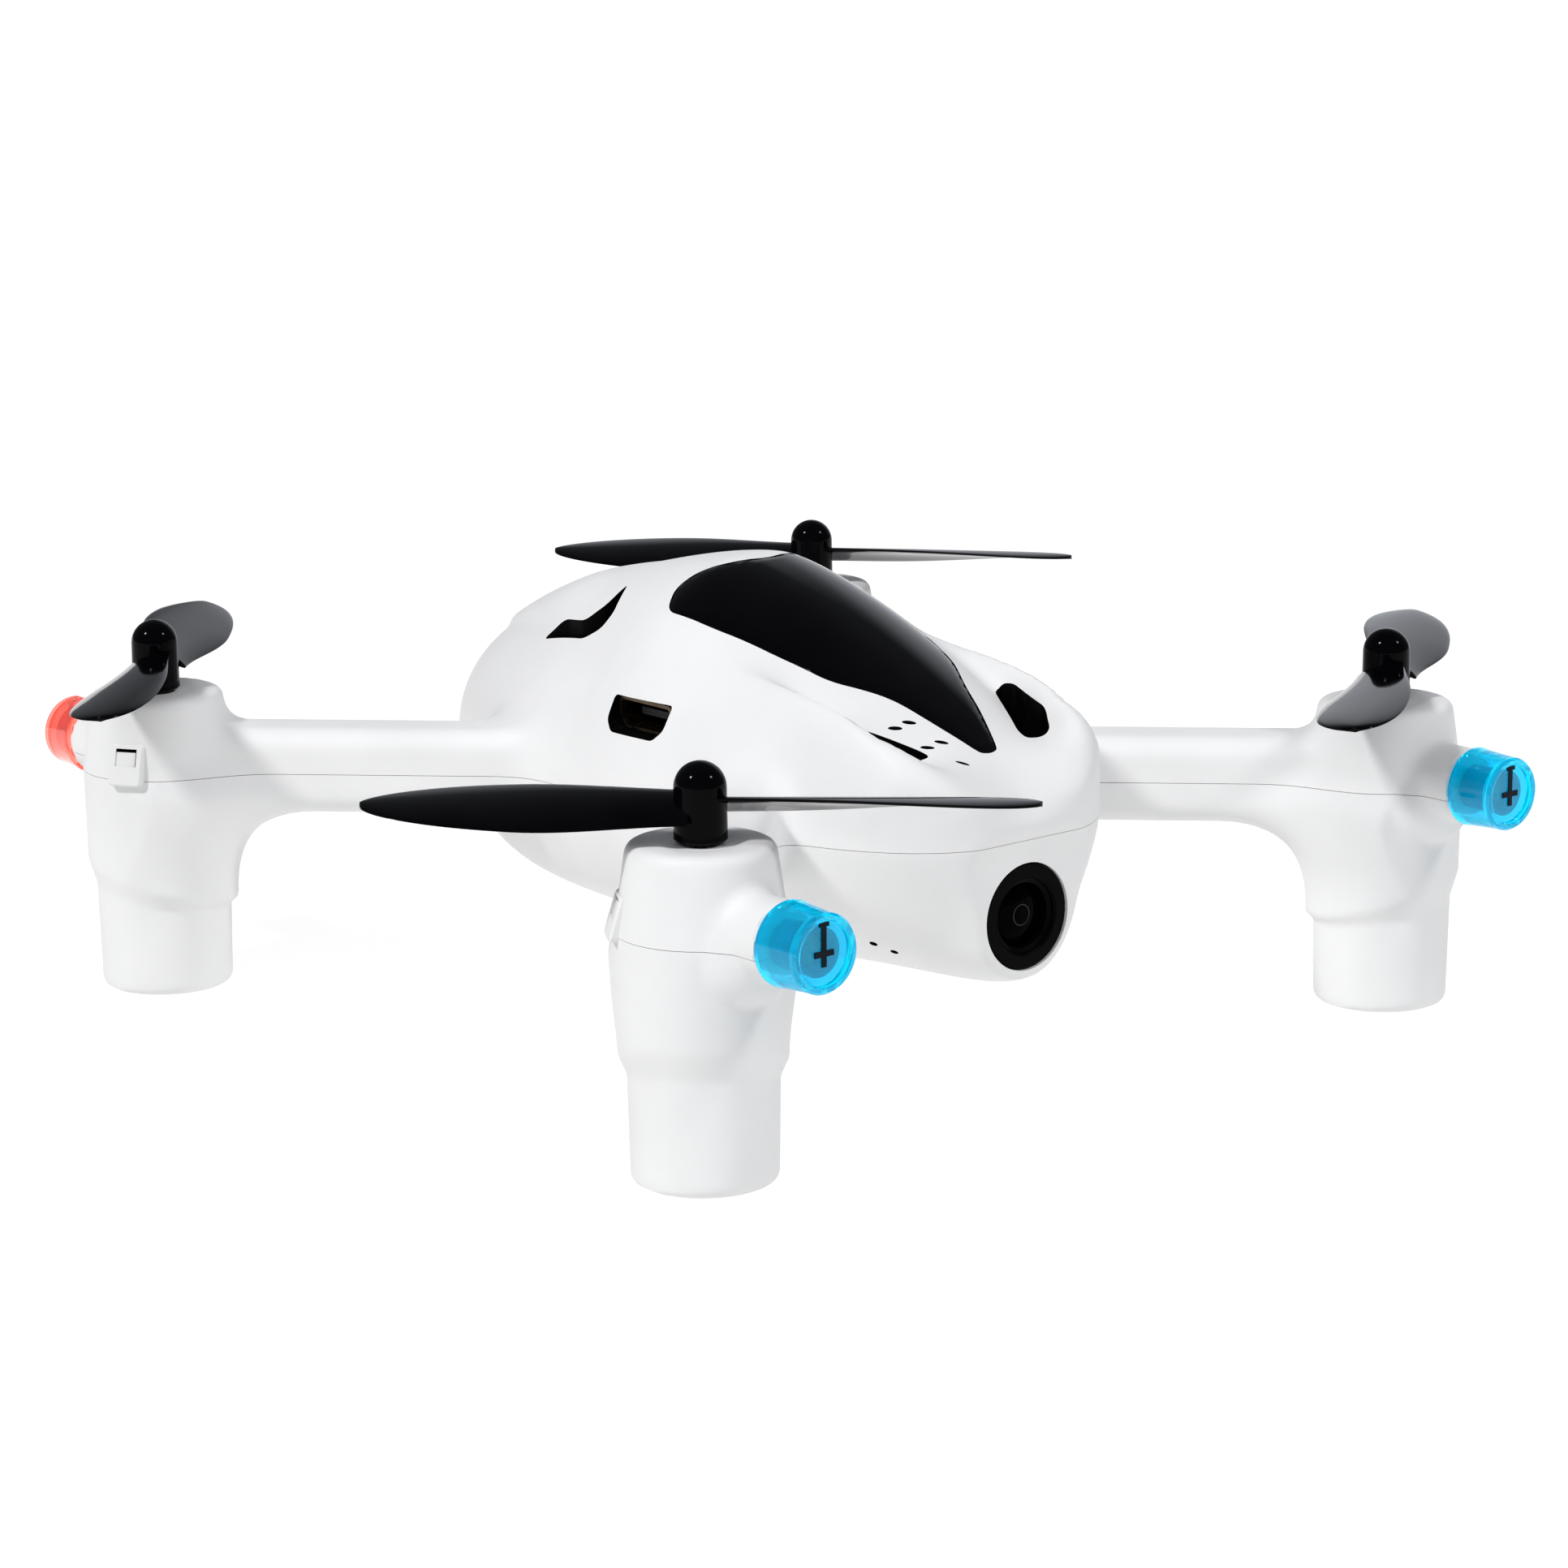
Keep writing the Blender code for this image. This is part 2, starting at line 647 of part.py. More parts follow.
def lower_shell(whole, material):
    shell = copy_of(whole, "lower_shell")
    high = HULL_SEAM_Z - SEAM_GAP / 2
    combine(shell, [block("below", (-FAR, -FAR, -FAR), (FAR, FAR, high))], "INTERSECT")
    nose = Matrix.Translation((0.0, 0.0, LENS_Z)) @ Matrix.Rotation(math.pi / 2, 4, "X")
    bezel, barrel = BEZEL_RADIUS + FIT, BARREL_RADIUS + FIT
    seat = -LENS_FACE_Y - BEZEL_DEPTH - FIT
    sleeve = barrel + SHELL_WALL
    snout = turned("snout", [(sleeve, seat - BARREL_LENGTH), (sleeve, seat - FIT)], 24, None, nose)
    rails = [
        block("rail", (x - RAIL_WIDTH / 2, BATTERY_FRONT_Y, hull_belly(BATTERY_FRONT_Y) + SHELL_WALL / 2),
              (x + RAIL_WIDTH / 2, COVER_FRONT_Y - 0.006, BATTERY_BOTTOM_Z - FIT))
        for x in (-RAIL_X, RAIL_X)
    ]
    combine(shell, [snout] + rails, "UNION")
    eye = turned("eye", [(barrel, 0.020), (barrel, seat), (bezel, seat), (bezel, FAR)], 24, None, nose)
    tail = block("tail", (-HULL_HALF_WIDTH, COVER_FRONT_Y, -FAR),
                 (HULL_HALF_WIDTH, FAR, HULL_SEAM_Z - COVER_TOP_DROP))
    combine(shell, [eye, tail], "DIFFERENCE")
    return give(shell, "lower_shell", material)


def battery_cover(material):
    """The lower end of the tail, which comes away with the battery."""
    cover = hull_solid("battery_cover")
    top = HULL_SEAM_Z - COVER_TOP_DROP - FIT
    box = block("box", (-FAR, COVER_FRONT_Y + FIT, -FAR), (FAR, FAR, top))
    combine(cover, [box], "INTERSECT")
    inside = hull_solid("inside", SHELL_WALL)
    behind = block("behind", (-FAR, COVER_FRONT_Y + FIT + SHELL_WALL, -FAR), (FAR, FAR, FAR))
    combine(inside, [behind], "INTERSECT")
    combine(cover, [inside], "DIFFERENCE")
    return give(cover, "battery_cover", material)


def canopy_window(material):
    window = plan_prism("canopy_window", window_outline(0.0), BOARD_Z, FAR)
    combine(window, [hull_solid("skin")], "INTERSECT")
    combine(window, [hull_solid("below", WINDOW_THICKNESS)], "DIFFERENCE")
    return give(window, "canopy_window", material)


# Pods: motor, leads, light and propeller


def motor(pod, side_x, side_y, steel, plastic, brass, copper):
    place = pod_matrix(side_x, side_y)
    low = MOTOR_SEAT_Z + FIT
    top = low + MOTOR_LENGTH
    shaft_hole = SHAFT_RADIUS + FIT
    can = turned(f"motor_can_{pod}", [
        (MOTOR_RADIUS - MOTOR_ROUND, low), (MOTOR_RADIUS, low + MOTOR_ROUND),
        (MOTOR_RADIUS, top - MOTOR_ROUND), (MOTOR_RADIUS - MOTOR_ROUND, top),
        (shaft_hole, top), (shaft_hole, top - SHAFT_DEPTH),
    ], 16, steel)
    shaft_top = PROP_HUB_TOP_Z - PROP_HUB_RADIUS
    shaft = turned(f"motor_shaft_{pod}", [
        (SHAFT_RADIUS, top - SHAFT_DEPTH + FIT), (SHAFT_RADIUS, shaft_top)], 8, steel)
    bush = turned(f"motor_bush_{pod}", [
        (BUSH_RADIUS, top + FIT / 2), (BUSH_RADIUS, top + FIT / 2 + BUSH_HEIGHT),
        (shaft_hole, top + FIT / 2 + BUSH_HEIGHT), (shaft_hole, top + FIT / 2)], 12, brass)
    close_ring(bush, 12)
    cap = turned(f"motor_end_cap_{pod}", [
        (END_CAP_RADIUS, low - FIT - END_CAP_HEIGHT), (END_CAP_RADIUS, low - FIT)], 12, plastic)
    for obj in (can, shaft, bush, cap):
        obj.location = place.translation
    motor_lead(pod, side_x, side_y, copper)


def close_ring(obj, sides):
    """Turn a profile whose ends were capped into a ring, by joining its last loop to its first."""
    bm = bmesh.new()
    bm.from_mesh(obj.data)
    first = list(bm.verts)[:sides]
    last = list(bm.verts)[-sides:]
    loops = (set(first), set(last))
    caps = [face for face in bm.faces if any(all(v in loop for v in face.verts) for loop in loops)]
    bmesh.ops.delete(bm, geom=caps, context="FACES_ONLY")
    for i in range(sides):
        j = (i + 1) % sides
        bm.faces.new((last[i], last[j], first[j], first[i]))
    bmesh.ops.delete(bm, geom=[e for e in bm.edges if not e.link_faces], context="EDGES")
    bmesh.ops.recalc_face_normals(bm, faces=bm.faces)
    bm.to_mesh(obj.data)
    bm.free()


def motor_lead(pod, side_x, side_y, material):
    """Twisted pair, drawn as one tube, from the foot of the motor up its groove and along the arm."""
    axis = math.hypot(HALF_PITCH, HALF_PITCH)
    beside = axis - lead_offset()
    route = [
        (beside, MOTOR_SEAT_Z + FIT), (beside, LEG_STEP_Z), (beside, HULL_SEAM_Z - 0.0030),
        (beside - 0.0007, HULL_SEAM_Z - 0.0010), (beside - 0.0030, HULL_SEAM_Z),
        (axis - 0.020, HULL_SEAM_Z), (ARM_ROOT + 0.006, HULL_SEAM_Z), (ARM_ROOT + 0.001, HULL_SEAM_Z + 0.001),
    ]
    curve = bpy.data.curves.new(f"motor_lead_{pod}", "CURVE")
    curve.dimensions = "3D"
    curve.bevel_depth = LEAD_RADIUS
    curve.bevel_resolution = 1
    curve.use_fill_caps = True
    spline = curve.splines.new("POLY")
    spline.points.add(len(route) - 1)
    turn = arm_turn(side_x, side_y)
    for point, (distance, z) in zip(spline.points, route):
        point.co = (*(turn @ Vector((distance, 0.0, z))), 1.0)
    curve.materials.append(material)
    lead = bpy.data.objects.new(f"motor_lead_{pod}", curve)
    bpy.context.scene.collection.objects.link(lead)


def light(pod, side_x, side_y, clear, emitter):
    frame = led_matrix(side_x, side_y)
    base = LED_BOSS_REACH + FIT
    end = base + LED_CAP_LENGTH
    inner = LED_CAP_RADIUS - LED_CAP_WALL
    lip = LED_CAP_END_RADIUS - LED_CAP_WALL
    turned(f"led_cap_{pod}", [
        (LED_CAP_RADIUS, base), (LED_CAP_END_RADIUS + 0.0001, end - 0.0004),
        (LED_CAP_END_RADIUS - 0.0003, end), (lip, end), (lip - 0.0002, end - 0.0005),
        (0.0006, end - 0.0005), (0.0006, end - 0.0012), (inner - 0.0003, end - 0.0012), (inner, base),
    ], LED_SIDES, clear, frame)
    obj = bpy.data.objects[f"led_cap_{pod}"]
    close_ring(obj, LED_SIDES)
    plug = turned("plug", [(0.0009, end - 0.0011), (0.0009, end - 0.0006)], 12, None, frame)
    combine(obj, [plug], "UNION")
    give(obj, f"led_cap_{pod}", clear)
    start = LED_BOSS_REACH - 0.0022
    tip = start + LED_BODY_LENGTH
    turned(f"led_emitter_{pod}", [
        (LED_BODY_RADIUS, start), (LED_BODY_RADIUS, tip - LED_BODY_RADIUS),
        (LED_BODY_RADIUS * 0.87, tip - LED_BODY_RADIUS * 0.5),
        (LED_BODY_RADIUS * 0.5, tip - LED_BODY_RADIUS * 0.13),
        (LED_BODY_RADIUS * 0.1, tip),
    ], 12, emitter, frame)


def blade_chord(share):
    if share < BLADE_WIDEST:
        return BLADE_ROOT_CHORD + (BLADE_CHORD - BLADE_ROOT_CHORD) * blend(share / BLADE_WIDEST)
    return BLADE_CHORD * dome((share - BLADE_WIDEST) / (1 - BLADE_WIDEST), 2.2, 0.5)


def blade_solid(name, sense):
    """One twisted blade along +X, for a propeller that turns in the given sense seen from above."""
    rings = []
    for i in range(BLADE_STATIONS):
        share = 0.03 + 0.968 * math.sin(math.pi / 2 * i / (BLADE_STATIONS - 1))
        radius = share * PROP_DIAMETER / 2
        chord = max(blade_chord(share), 0.0006)
        thick = BLADE_THICKNESS + (BLADE_TIP_THICKNESS - BLADE_THICKNESS) * share
        pitch = math.radians(BLADE_ROOT_PITCH + (BLADE_TIP_PITCH - BLADE_ROOT_PITCH) * share)
        ring = []
        for c, t in ((-0.5, 0.0), (-0.25, -0.42), (0.15, -0.5), (0.5, 0.0), (0.15, 0.5), (-0.25, 0.42)):
            along, up = (c - BLADE_OFFSET) * chord, t * thick + 0.05 * chord * (1 - 4 * c * c)
            y = along * math.cos(pitch) - up * math.sin(pitch)
            z = along * math.sin(pitch) + up * math.cos(pitch)
            ring.append(Vector((radius, y * sense, z)))
        rings.append(ring)
    return loft(name, rings)


def propeller(pod, side_x, side_y, angle, sense, material):
    dome_z = PROP_HUB_TOP_Z - PROP_HUB_RADIUS
    radius = PROP_HUB_RADIUS
    profile = [(radius * 1.02, PROP_HUB_BASE_Z), (radius, dome_z)]
    for step in (0.3, 0.55, 0.75, 0.9):
        turn = step * math.pi / 2
        profile.append((radius * math.cos(turn), dome_z + radius * math.sin(turn)))
    hub = turned(f"propeller_{pod}", profile, 16)
    blades = []
    for half in (0.0, 180.0):
        blade = blade_solid("blade", sense)
        turn = Matrix.Rotation(math.radians(angle + half), 4, "Z")
        blade.data.transform(Matrix.Translation((0.0, 0.0, PROP_BLADE_Z)) @ turn)
        blades.append(blade)
    combine(hub, blades, "UNION")
    bore = SHAFT_RADIUS + FIT
    drill = turned("drill", [(bore, PROP_HUB_BASE_Z - 0.001), (bore, dome_z + FIT)], 8)
    combine(hub, [drill], "DIFFERENCE")
    give(hub, f"propeller_{pod}", material)
    hub.location = (side_x * HALF_PITCH, side_y * HALF_PITCH, 0.0)


# Camera, board and battery


def along_nose(distance_z=LENS_Z):
    """Frame whose +Z points out of the nose, along -Y."""
    return Matrix.Translation((0.0, 0.0, distance_z)) @ Matrix.Rotation(math.pi / 2, 4, "X")


def camera(black, glass, green):
    face = -LENS_FACE_Y
    bezel = turned("lens_bezel", [
        (BEZEL_RADIUS, face - BEZEL_DEPTH), (BEZEL_RADIUS, face - 0.0003), (BEZEL_RADIUS - 0.0003, face),
        (BEZEL_OPENING + 0.0003, face - 0.0005), (BEZEL_OPENING, face - BEZEL_DEPTH),
    ], 24, black, along_nose())
    close_ring(bezel, 24)
    back = face - BEZEL_DEPTH - FIT
    glass_seat = back - GLASS_THICKNESS
    turned("lens_barrel", [
        (BARREL_RADIUS, back - BARREL_LENGTH), (BARREL_RADIUS, back), (BEZEL_OPENING, back),
        (BEZEL_OPENING, glass_seat), (0.0012, glass_seat - 0.0008), (0.0008, glass_seat - 0.0020)],
        24, black, along_nose())
    rim = BEZEL_OPENING - FIT
    turned("lens_glass", [
        (rim, glass_seat + FIT), (rim, back), (rim * 0.8, back + 0.0004), (rim * 0.45, back + 0.00065),
        (rim * 0.1, back + 0.0007)], 24, glass, along_nose())
    board_front = -(back - BARREL_LENGTH - FIT)
    low = LENS_Z + CAMERA_BOARD_LIFT - CAMERA_BOARD_HEIGHT / 2
    block("camera_board", (-CAMERA_BOARD_WIDTH / 2, board_front, low),
          (CAMERA_BOARD_WIDTH / 2, board_front + BOARD_THICKNESS, low + CAMERA_BOARD_HEIGHT), green)
    return board_front + BOARD_THICKNESS


def ribbon(start_y, material):
    """Flat lead from the back of the camera board up to the underside of the main board."""
    low = LENS_Z + CAMERA_BOARD_HEIGHT / 2 - 0.0010
    under = BOARD_Z - FIT - RIBBON_THICKNESS
    route = [(start_y + FIT, low - 0.0015), (start_y + FIT, low + 0.0020), (start_y + 0.0016, under - 0.0022),
             (start_y + 0.0046, under), (BOARD_FRONT_Y + 0.0012, under)]
    rings = []
    for i, (y, z) in enumerate(route):
        ahead = Vector(route[min(i + 1, len(route) - 1)]) - Vector(route[max(i - 1, 0)])
        normal = Vector((-ahead.y, ahead.x)).normalized() * RIBBON_THICKNESS / 2
        half = RIBBON_WIDTH / 2
        middle = Vector((y + RIBBON_THICKNESS / 2, z + RIBBON_THICKNESS / 2))
        low_edge, high_edge = middle - normal, middle + normal
        rings.append([Vector((-half, *low_edge)), Vector((half, *low_edge)),
                      Vector((half, *high_edge)), Vector((-half, *high_edge))])
    loft("camera_ribbon", rings, material)


def main_board(green, black, steel, tin):
    top = BOARD_Z + BOARD_THICKNESS
    board = block("main_board", (-BOARD_HALF_WIDTH, BOARD_FRONT_Y, BOARD_Z),
                  (BOARD_HALF_WIDTH, BOARD_REAR_Y, top))
    hole = SCREW_RADIUS + FIT
    through = [(hole, BOARD_Z - 0.001), (hole, top + 0.001)]
    holes = [turned("hole", through, 12, None, Matrix.Translation((x, y, 0))) for x, y in screw_places()]
    combine(board, holes, "DIFFERENCE")
    give(board, "main_board", green)
    names = ("front_right", "rear_right", "front_left", "rear_left")
    for name, (x, y) in zip(names, screw_places()):
        seat = BOARD_Z - FIT / 2
        turned(f"board_screw_{name}", [
            (SCREW_HEAD_RADIUS * 0.8, seat - SCREW_HEAD_HEIGHT),
            (SCREW_HEAD_RADIUS, seat - SCREW_HEAD_HEIGHT * 0.6), (SCREW_HEAD_RADIUS, seat),
            (SCREW_RADIUS, seat), (SCREW_RADIUS, top + SCREW_GRIP),
        ], 12, steel, Matrix.Translation((x, y, 0.0)))
    low = top + FIT / 2
    chip = CHIP_SIZE / 2
    block("processor_chip", (-chip, -chip, low), (chip, chip, low + CHIP_HEIGHT), black)
    rear = BOARD_REAR_Y - 0.0010
    block("radio_module", (-RADIO_WIDTH / 2, rear - RADIO_LENGTH, low),
          (RADIO_WIDTH / 2, rear, low + RADIO_HEIGHT), tin)
    usb_socket(steel)


def usb_socket(material):
    """Folded metal shell, open toward the side of the hull, with its contact tongue."""
    power = roof_fullness(USB_Y)
    mouth = -(hull_half_width(USB_Y) * dome(0.39, power, 1 / power) - USB_RECESS)
    half_w, half_h, wall = USB_SHELL_WIDTH / 2, USB_SHELL_HEIGHT / 2, USB_SHELL_WALL
    shell = block("usb_socket", (mouth, USB_Y - half_w, USB_Z - half_h),
                  (mouth + USB_SHELL_DEPTH, USB_Y + half_w, USB_Z + half_h))
    inside = block("inside", (mouth - 0.001, USB_Y - half_w + wall, USB_Z - half_h + wall),
                   (mouth + USB_SHELL_DEPTH - wall, USB_Y + half_w - wall, USB_Z + half_h - wall))
    combine(shell, [inside], "DIFFERENCE")
    tongue = block("tongue", (mouth + 0.0012, USB_Y - half_w * 0.55, USB_Z - 0.0002),
                   (mouth + USB_SHELL_DEPTH - wall / 2, USB_Y + half_w * 0.55, USB_Z + 0.0005))
    top = BOARD_Z + BOARD_THICKNESS + FIT / 2
    foot = block("foot", (-BOARD_HALF_WIDTH + 0.0004, USB_Y - half_w * 0.8, top),
                 (mouth + USB_SHELL_DEPTH, USB_Y + half_w * 0.8, USB_Z - half_h + wall / 2))
    combine(shell, [tongue, foot], "UNION")
    give(shell, "usb_socket", material)


def battery(wrap, black):
    top = BATTERY_BOTTOM_Z + BATTERY_HEIGHT
    block("battery_cell", (-BATTERY_HALF_WIDTH, BATTERY_FRONT_Y, BATTERY_BOTTOM_Z),
          (BATTERY_HALF_WIDTH, COVER_FRONT_Y, top), wrap, BATTERY_ROUND)
    low = BATTERY_BOTTOM_Z + BATTERY_HEIGHT / 2 - CONNECTOR_HEIGHT / 2
    back = BATTERY_FRONT_Y - FIT
    block("battery_connector", (-CONNECTOR_WIDTH / 2, back - CONNECTOR_DEPTH, low),
          (CONNECTOR_WIDTH / 2, back, BOARD_Z - FIT / 2), black)


def main():
    for obj in list(bpy.data.objects):
        bpy.data.objects.remove(obj)
    white = make_material("white_abs", (0.80, 0.80, 0.78), 0.38)
    black = make_material("gloss_black", (0.010, 0.010, 0.012), 0.12)
    matt_black = make_material("matt_black", (0.015, 0.015, 0.017), 0.5)
    blue = make_material("clear_blue", (0.0, 0.43, 0.82), 0.08)
    red = make_material("clear_red", (0.80, 0.06, 0.04), 0.08)
    resin = make_material("emitter_resin", (0.85, 0.85, 0.80), 0.2)
    steel = make_material("steel", (0.45, 0.44, 0.42), 0.3, 1.0)
    brass = make_material("brass", (0.55, 0.36, 0.14), 0.3, 1.0)
    copper = make_material("lead_sleeve", (0.50, 0.02, 0.02), 0.4)
    green = make_material("board_green", (0.01, 0.12, 0.04), 0.4)
    tin = make_material("tin_can", (0.55, 0.55, 0.55), 0.35, 1.0)
    glass = make_material("lens_glass", (0.01, 0.01, 0.015), 0.03)
    wrap = make_material("battery_wrap", (0.02, 0.06, 0.20), 0.35)
    film = make_material("ribbon_film", (0.35, 0.16, 0.02), 0.35)

    whole = hollow(outer_form())
    upper_shell(whole, white)
    lower_shell(whole, white)
    bpy.data.objects.remove(whole)
    battery_cover(white)
    canopy_window(black)
    for pod, (side_x, side_y, angle, sense) in PODS.items():
        motor(pod, side_x, side_y, steel, white, brass, copper)
        light(pod, side_x, side_y, blue if side_y < 0 else red, resin)
        propeller(pod, side_x, side_y, angle, sense, black)
    ribbon(camera(matt_black, glass, green), film)
    main_board(green, matt_black, steel, tin)
    battery(wrap, matt_black)


main()
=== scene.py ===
"""Looks of a mini palm drone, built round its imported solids.

Sizes are in millimetres and become metres where a mesh is made.
+Z is up, the nose points along -Y, and the drone's right side is -X.
"""

import json
import math

import bmesh
import bpy
import numpy as np
from mathutils import Matrix, Vector

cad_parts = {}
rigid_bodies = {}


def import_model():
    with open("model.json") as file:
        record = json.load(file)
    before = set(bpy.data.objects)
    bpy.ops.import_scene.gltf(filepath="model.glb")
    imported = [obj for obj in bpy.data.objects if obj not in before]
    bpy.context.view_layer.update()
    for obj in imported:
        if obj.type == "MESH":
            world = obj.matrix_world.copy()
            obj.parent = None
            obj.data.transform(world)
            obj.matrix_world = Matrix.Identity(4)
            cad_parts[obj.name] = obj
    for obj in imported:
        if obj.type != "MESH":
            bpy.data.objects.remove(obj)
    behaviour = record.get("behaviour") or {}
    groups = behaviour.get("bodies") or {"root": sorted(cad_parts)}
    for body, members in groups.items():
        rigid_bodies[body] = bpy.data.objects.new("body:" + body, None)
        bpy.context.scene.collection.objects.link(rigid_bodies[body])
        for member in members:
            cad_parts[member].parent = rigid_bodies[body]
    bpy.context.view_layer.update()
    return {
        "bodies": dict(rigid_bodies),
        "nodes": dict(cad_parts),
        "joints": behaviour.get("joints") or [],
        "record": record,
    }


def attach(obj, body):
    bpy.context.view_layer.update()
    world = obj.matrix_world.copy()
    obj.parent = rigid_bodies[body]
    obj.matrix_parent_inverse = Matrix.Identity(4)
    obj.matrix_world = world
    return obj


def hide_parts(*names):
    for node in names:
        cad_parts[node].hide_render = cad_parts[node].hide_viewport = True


MM = 0.001

# Hull. Each curve toward the nose or the tail is a dome, given by its power and root.
NOSE, TAIL = -37.8, 41.2
HALF_WIDTH, WIDEST_Y = 19.0, -5.0
PLAN_NOSE, PLAN_TAIL = (2.5, 0.4), (2.15, 0.465)
SEAM, SEAM_GAP = 21.4, 0.05
CREST, CREST_Y = 42.3, 1.0
ROOF_NOSE, ROOF_TAIL = (1.3, 0.72), (1.35, 0.5)
KEEL, KEEL_Y, KEEL_RAKE = 6.6, 5.0, 0.03
KEEL_NOSE, KEEL_TAIL = (17.0, 0.2), (4.7, 0.5)
RIDGE_ROUND = 2.5

# Half width and heights of the hull are kept from reaching zero
THINNEST = 0.3

# Powers of the hull's section, with what the canopy gains at the nose, behind the window and at the tail
ROOF_FULLNESS, NOSE_GAIN, REAR_GAIN, TAIL_GAIN = 1.43, 0.8, 0.22, 0.35
NOSE_GAIN_Y, NOSE_GAIN_RUN, REAR_GAIN_Y, TAIL_GAIN_CURVE = -28.0, 8.0, 4.0, 1.3
BELLY_FULLNESS, BELLY_NOSE_LOSS = 2.0, 0.6

# Brow round the front of the canopy
BROW_HEIGHT, BROW_LIP_SHARE, BROW_CURVE = 5.9, 0.12, 1.7
BROW_START, BROW_RUN = -5.0, 26.0
BROW_SIDE, BROW_NOSE, BROW_SQUARENESS = 12.1, 30.6, 5.2
BROW_INNER, BROW_OUTER = 0.125, 0.25

# Spine along the rear roof, which narrows and ends in a small step
SPINE_HEIGHT, SPINE_START, SPINE_END = 0.7, 14.0, 31.4
SPINE_WIDE, SPINE_NARROW = 12.0, 6.6
SPINE_STEP, SPINE_EDGE = 0.6, 1.2

# Brow and spine fade out over this height above the seam
RELIEF_FADE = 4.0

# Snout round the camera, whose front leans back above the lens
LENS_Z, LENS_FACE = 14.2, -36.3
SNOUT_RADIUS, SNOUT_FRONT, SNOUT_BACK, SNOUT_BLEND = 5.35, -36.4, -26.0, 3.0
NOSE_LEAN, NOSE_ROUND = 0.3, 0.6
BEZEL_RADIUS, LENS_RADIUS, BEZEL_OPENING, BEZEL_DEPTH = 4.85, 3.4, 3.0, 1.4
LENS_CROWN = 0.9
IRIS_RADIUS, IRIS_BORE = 0.99, 0.90

# Arms along the diagonals, from near the middle to just short of each pod's axis
PITCH = 41.25
ARM_HALF_WIDTH, ARM_TOP, ARM_BOTTOM, ARM_ROUND = 3.6, 25.6, 17.4, 2.0
ARM_START, ARM_STOP = 8.0, 5.0
ARM_BLEND_HULL, ARM_BLEND_OVER, ARM_BLEND_UNDER, ARM_BLEND_RUN = 3.6, 2.2, 8.5, 5.0

# Pods and legs
FOOT_RADIUS, LEG_RADIUS, POD_RADIUS, POD_TOP_RADIUS, POD_TAPER = 6.2, 6.4, 7.25, 6.2, 0.15
STEP_Z, STEP_SLANT, STEP_RISE, STEP_FLARE = 9.8, 1.8, 1.6, 0.8
POD_TOP, POD_ROUND, FOOT_ROUND = 28.9, 1.0, 0.9
DISH_RADIUS, DISH_DEPTH, DISH_SLOPE = 3.4, 0.25, 1.2
HUB_HOLE_RADIUS, HUB_HOLE_DEPTH = 1.7, 2.2

# Lights, each on a boss with a bulge under it
LED_Z = 22.4
BOSS_RADIUS, BOSS_START, BOSS_END, BOSS_BLEND = 3.4, 1.0, 10.8, 1.0
BULGE_RADIUS, BULGE_OUT, BULGE_DROP, BULGE_BLEND = 4.7, 4.6, 2.2, 0.35
CAP_RADIUS, CAP_END_RADIUS, CAP_LENGTH, CAP_WALL, CAP_RECESS = 3.6, 3.35, 4.6, 0.65, 0.4
TUBE_RADIUS, TUBE_BORE = 2.1, 1.75
LEAD_HALF_WIDTH, LEAD_DROP, LEAD_SPAN, LEAD_HEAD, LEAD_GAP = 0.24, 1.1, 1.0, 0.5, 0.1
LEAD_THICKNESS = 0.12

# Snap tabs on the pods
TAB_DIRECTION = (0.846, -0.533)
TAB_WIDTH, TAB_LOW, TAB_HIGH, TAB_FACE, TAB_LEAN = 3.5, 21.0, 24.9, 8.0, 0.3
TAB_SLOT_WIDTH, TAB_SLOT_HEIGHT, TAB_SLOT_Z = 2.15, 1.6, 23.65
CATCH_DEPTH, SLOT_DEPTH, TOP_SLOT, SIDE_SLOT = 0.15, 0.9, 0.34, 0.14

# Canopy window
WINDOW_GAP, WINDOW_EDGE, WINDOW_PROUD = 0.12, 0.12, 0.02
WINDOW_DEPTH, WINDOW_SEAT, WINDOW_CELL = 1.1, 1.3, 0.7

# Openings
USB_Y, USB_Z, USB_WIDTH, USB_HEIGHT, USB_DEPTH = -1.7, 29.2, 7.9, 3.2, 6.0
USB_WALL_X, USB_CORNER, USB_ROUND = -16.0, 1.0, 0.45
BAY_FRONT, BAY_HALF_WIDTH, BAY_LOW, BAY_HIGH = -10.6, 7.1, 12.1, 20.6
COVER_FRONT, COVER_TOP, COVER_GAP = 32.0, 20.8, 0.14
VENT_DEPTH = 2.2
HOLE_ROUND = 0.7
SLIT_HALF_LENGTH, SLIT_SQUASH, SLIT_TURN, SLIT_DEPTH = 0.65, 0.3, -40.0, 2.2
DRAIN_RADIUS, DRAIN_DEPTH = 0.38, 2.0

# Cutters reach this far where they go right through
FAR = 70.0

# Propellers
PROP_RADIUS, PROP_HUB_RADIUS, PROP_BORE = 27.9, 2.2, 0.85
PROP_HUB_BASE, PROP_HUB_TOP, PROP_BLADE_Z = 28.95, 35.6, 32.0
BLADE_CHORD, BLADE_ROOT_CHORD, BLADE_TIP_CHORD = 8.4, 4.8, 0.35
BLADE_WIDEST, BLADE_OFFSET, BLADE_CAMBER = 0.56, 0.13, 0.05
BLADE_TIP_CURVE = (2.6, 0.5)
BLADE_THICKNESS, BLADE_TIP_THICKNESS = 0.8, 0.45
BLADE_ROOT_PITCH, BLADE_TIP_PITCH = 25.0, 5.5
BLADE_START, BLADE_SPAN = 0.03, 0.9695
BLADE_STATIONS, BLADE_POINTS = 44, 28

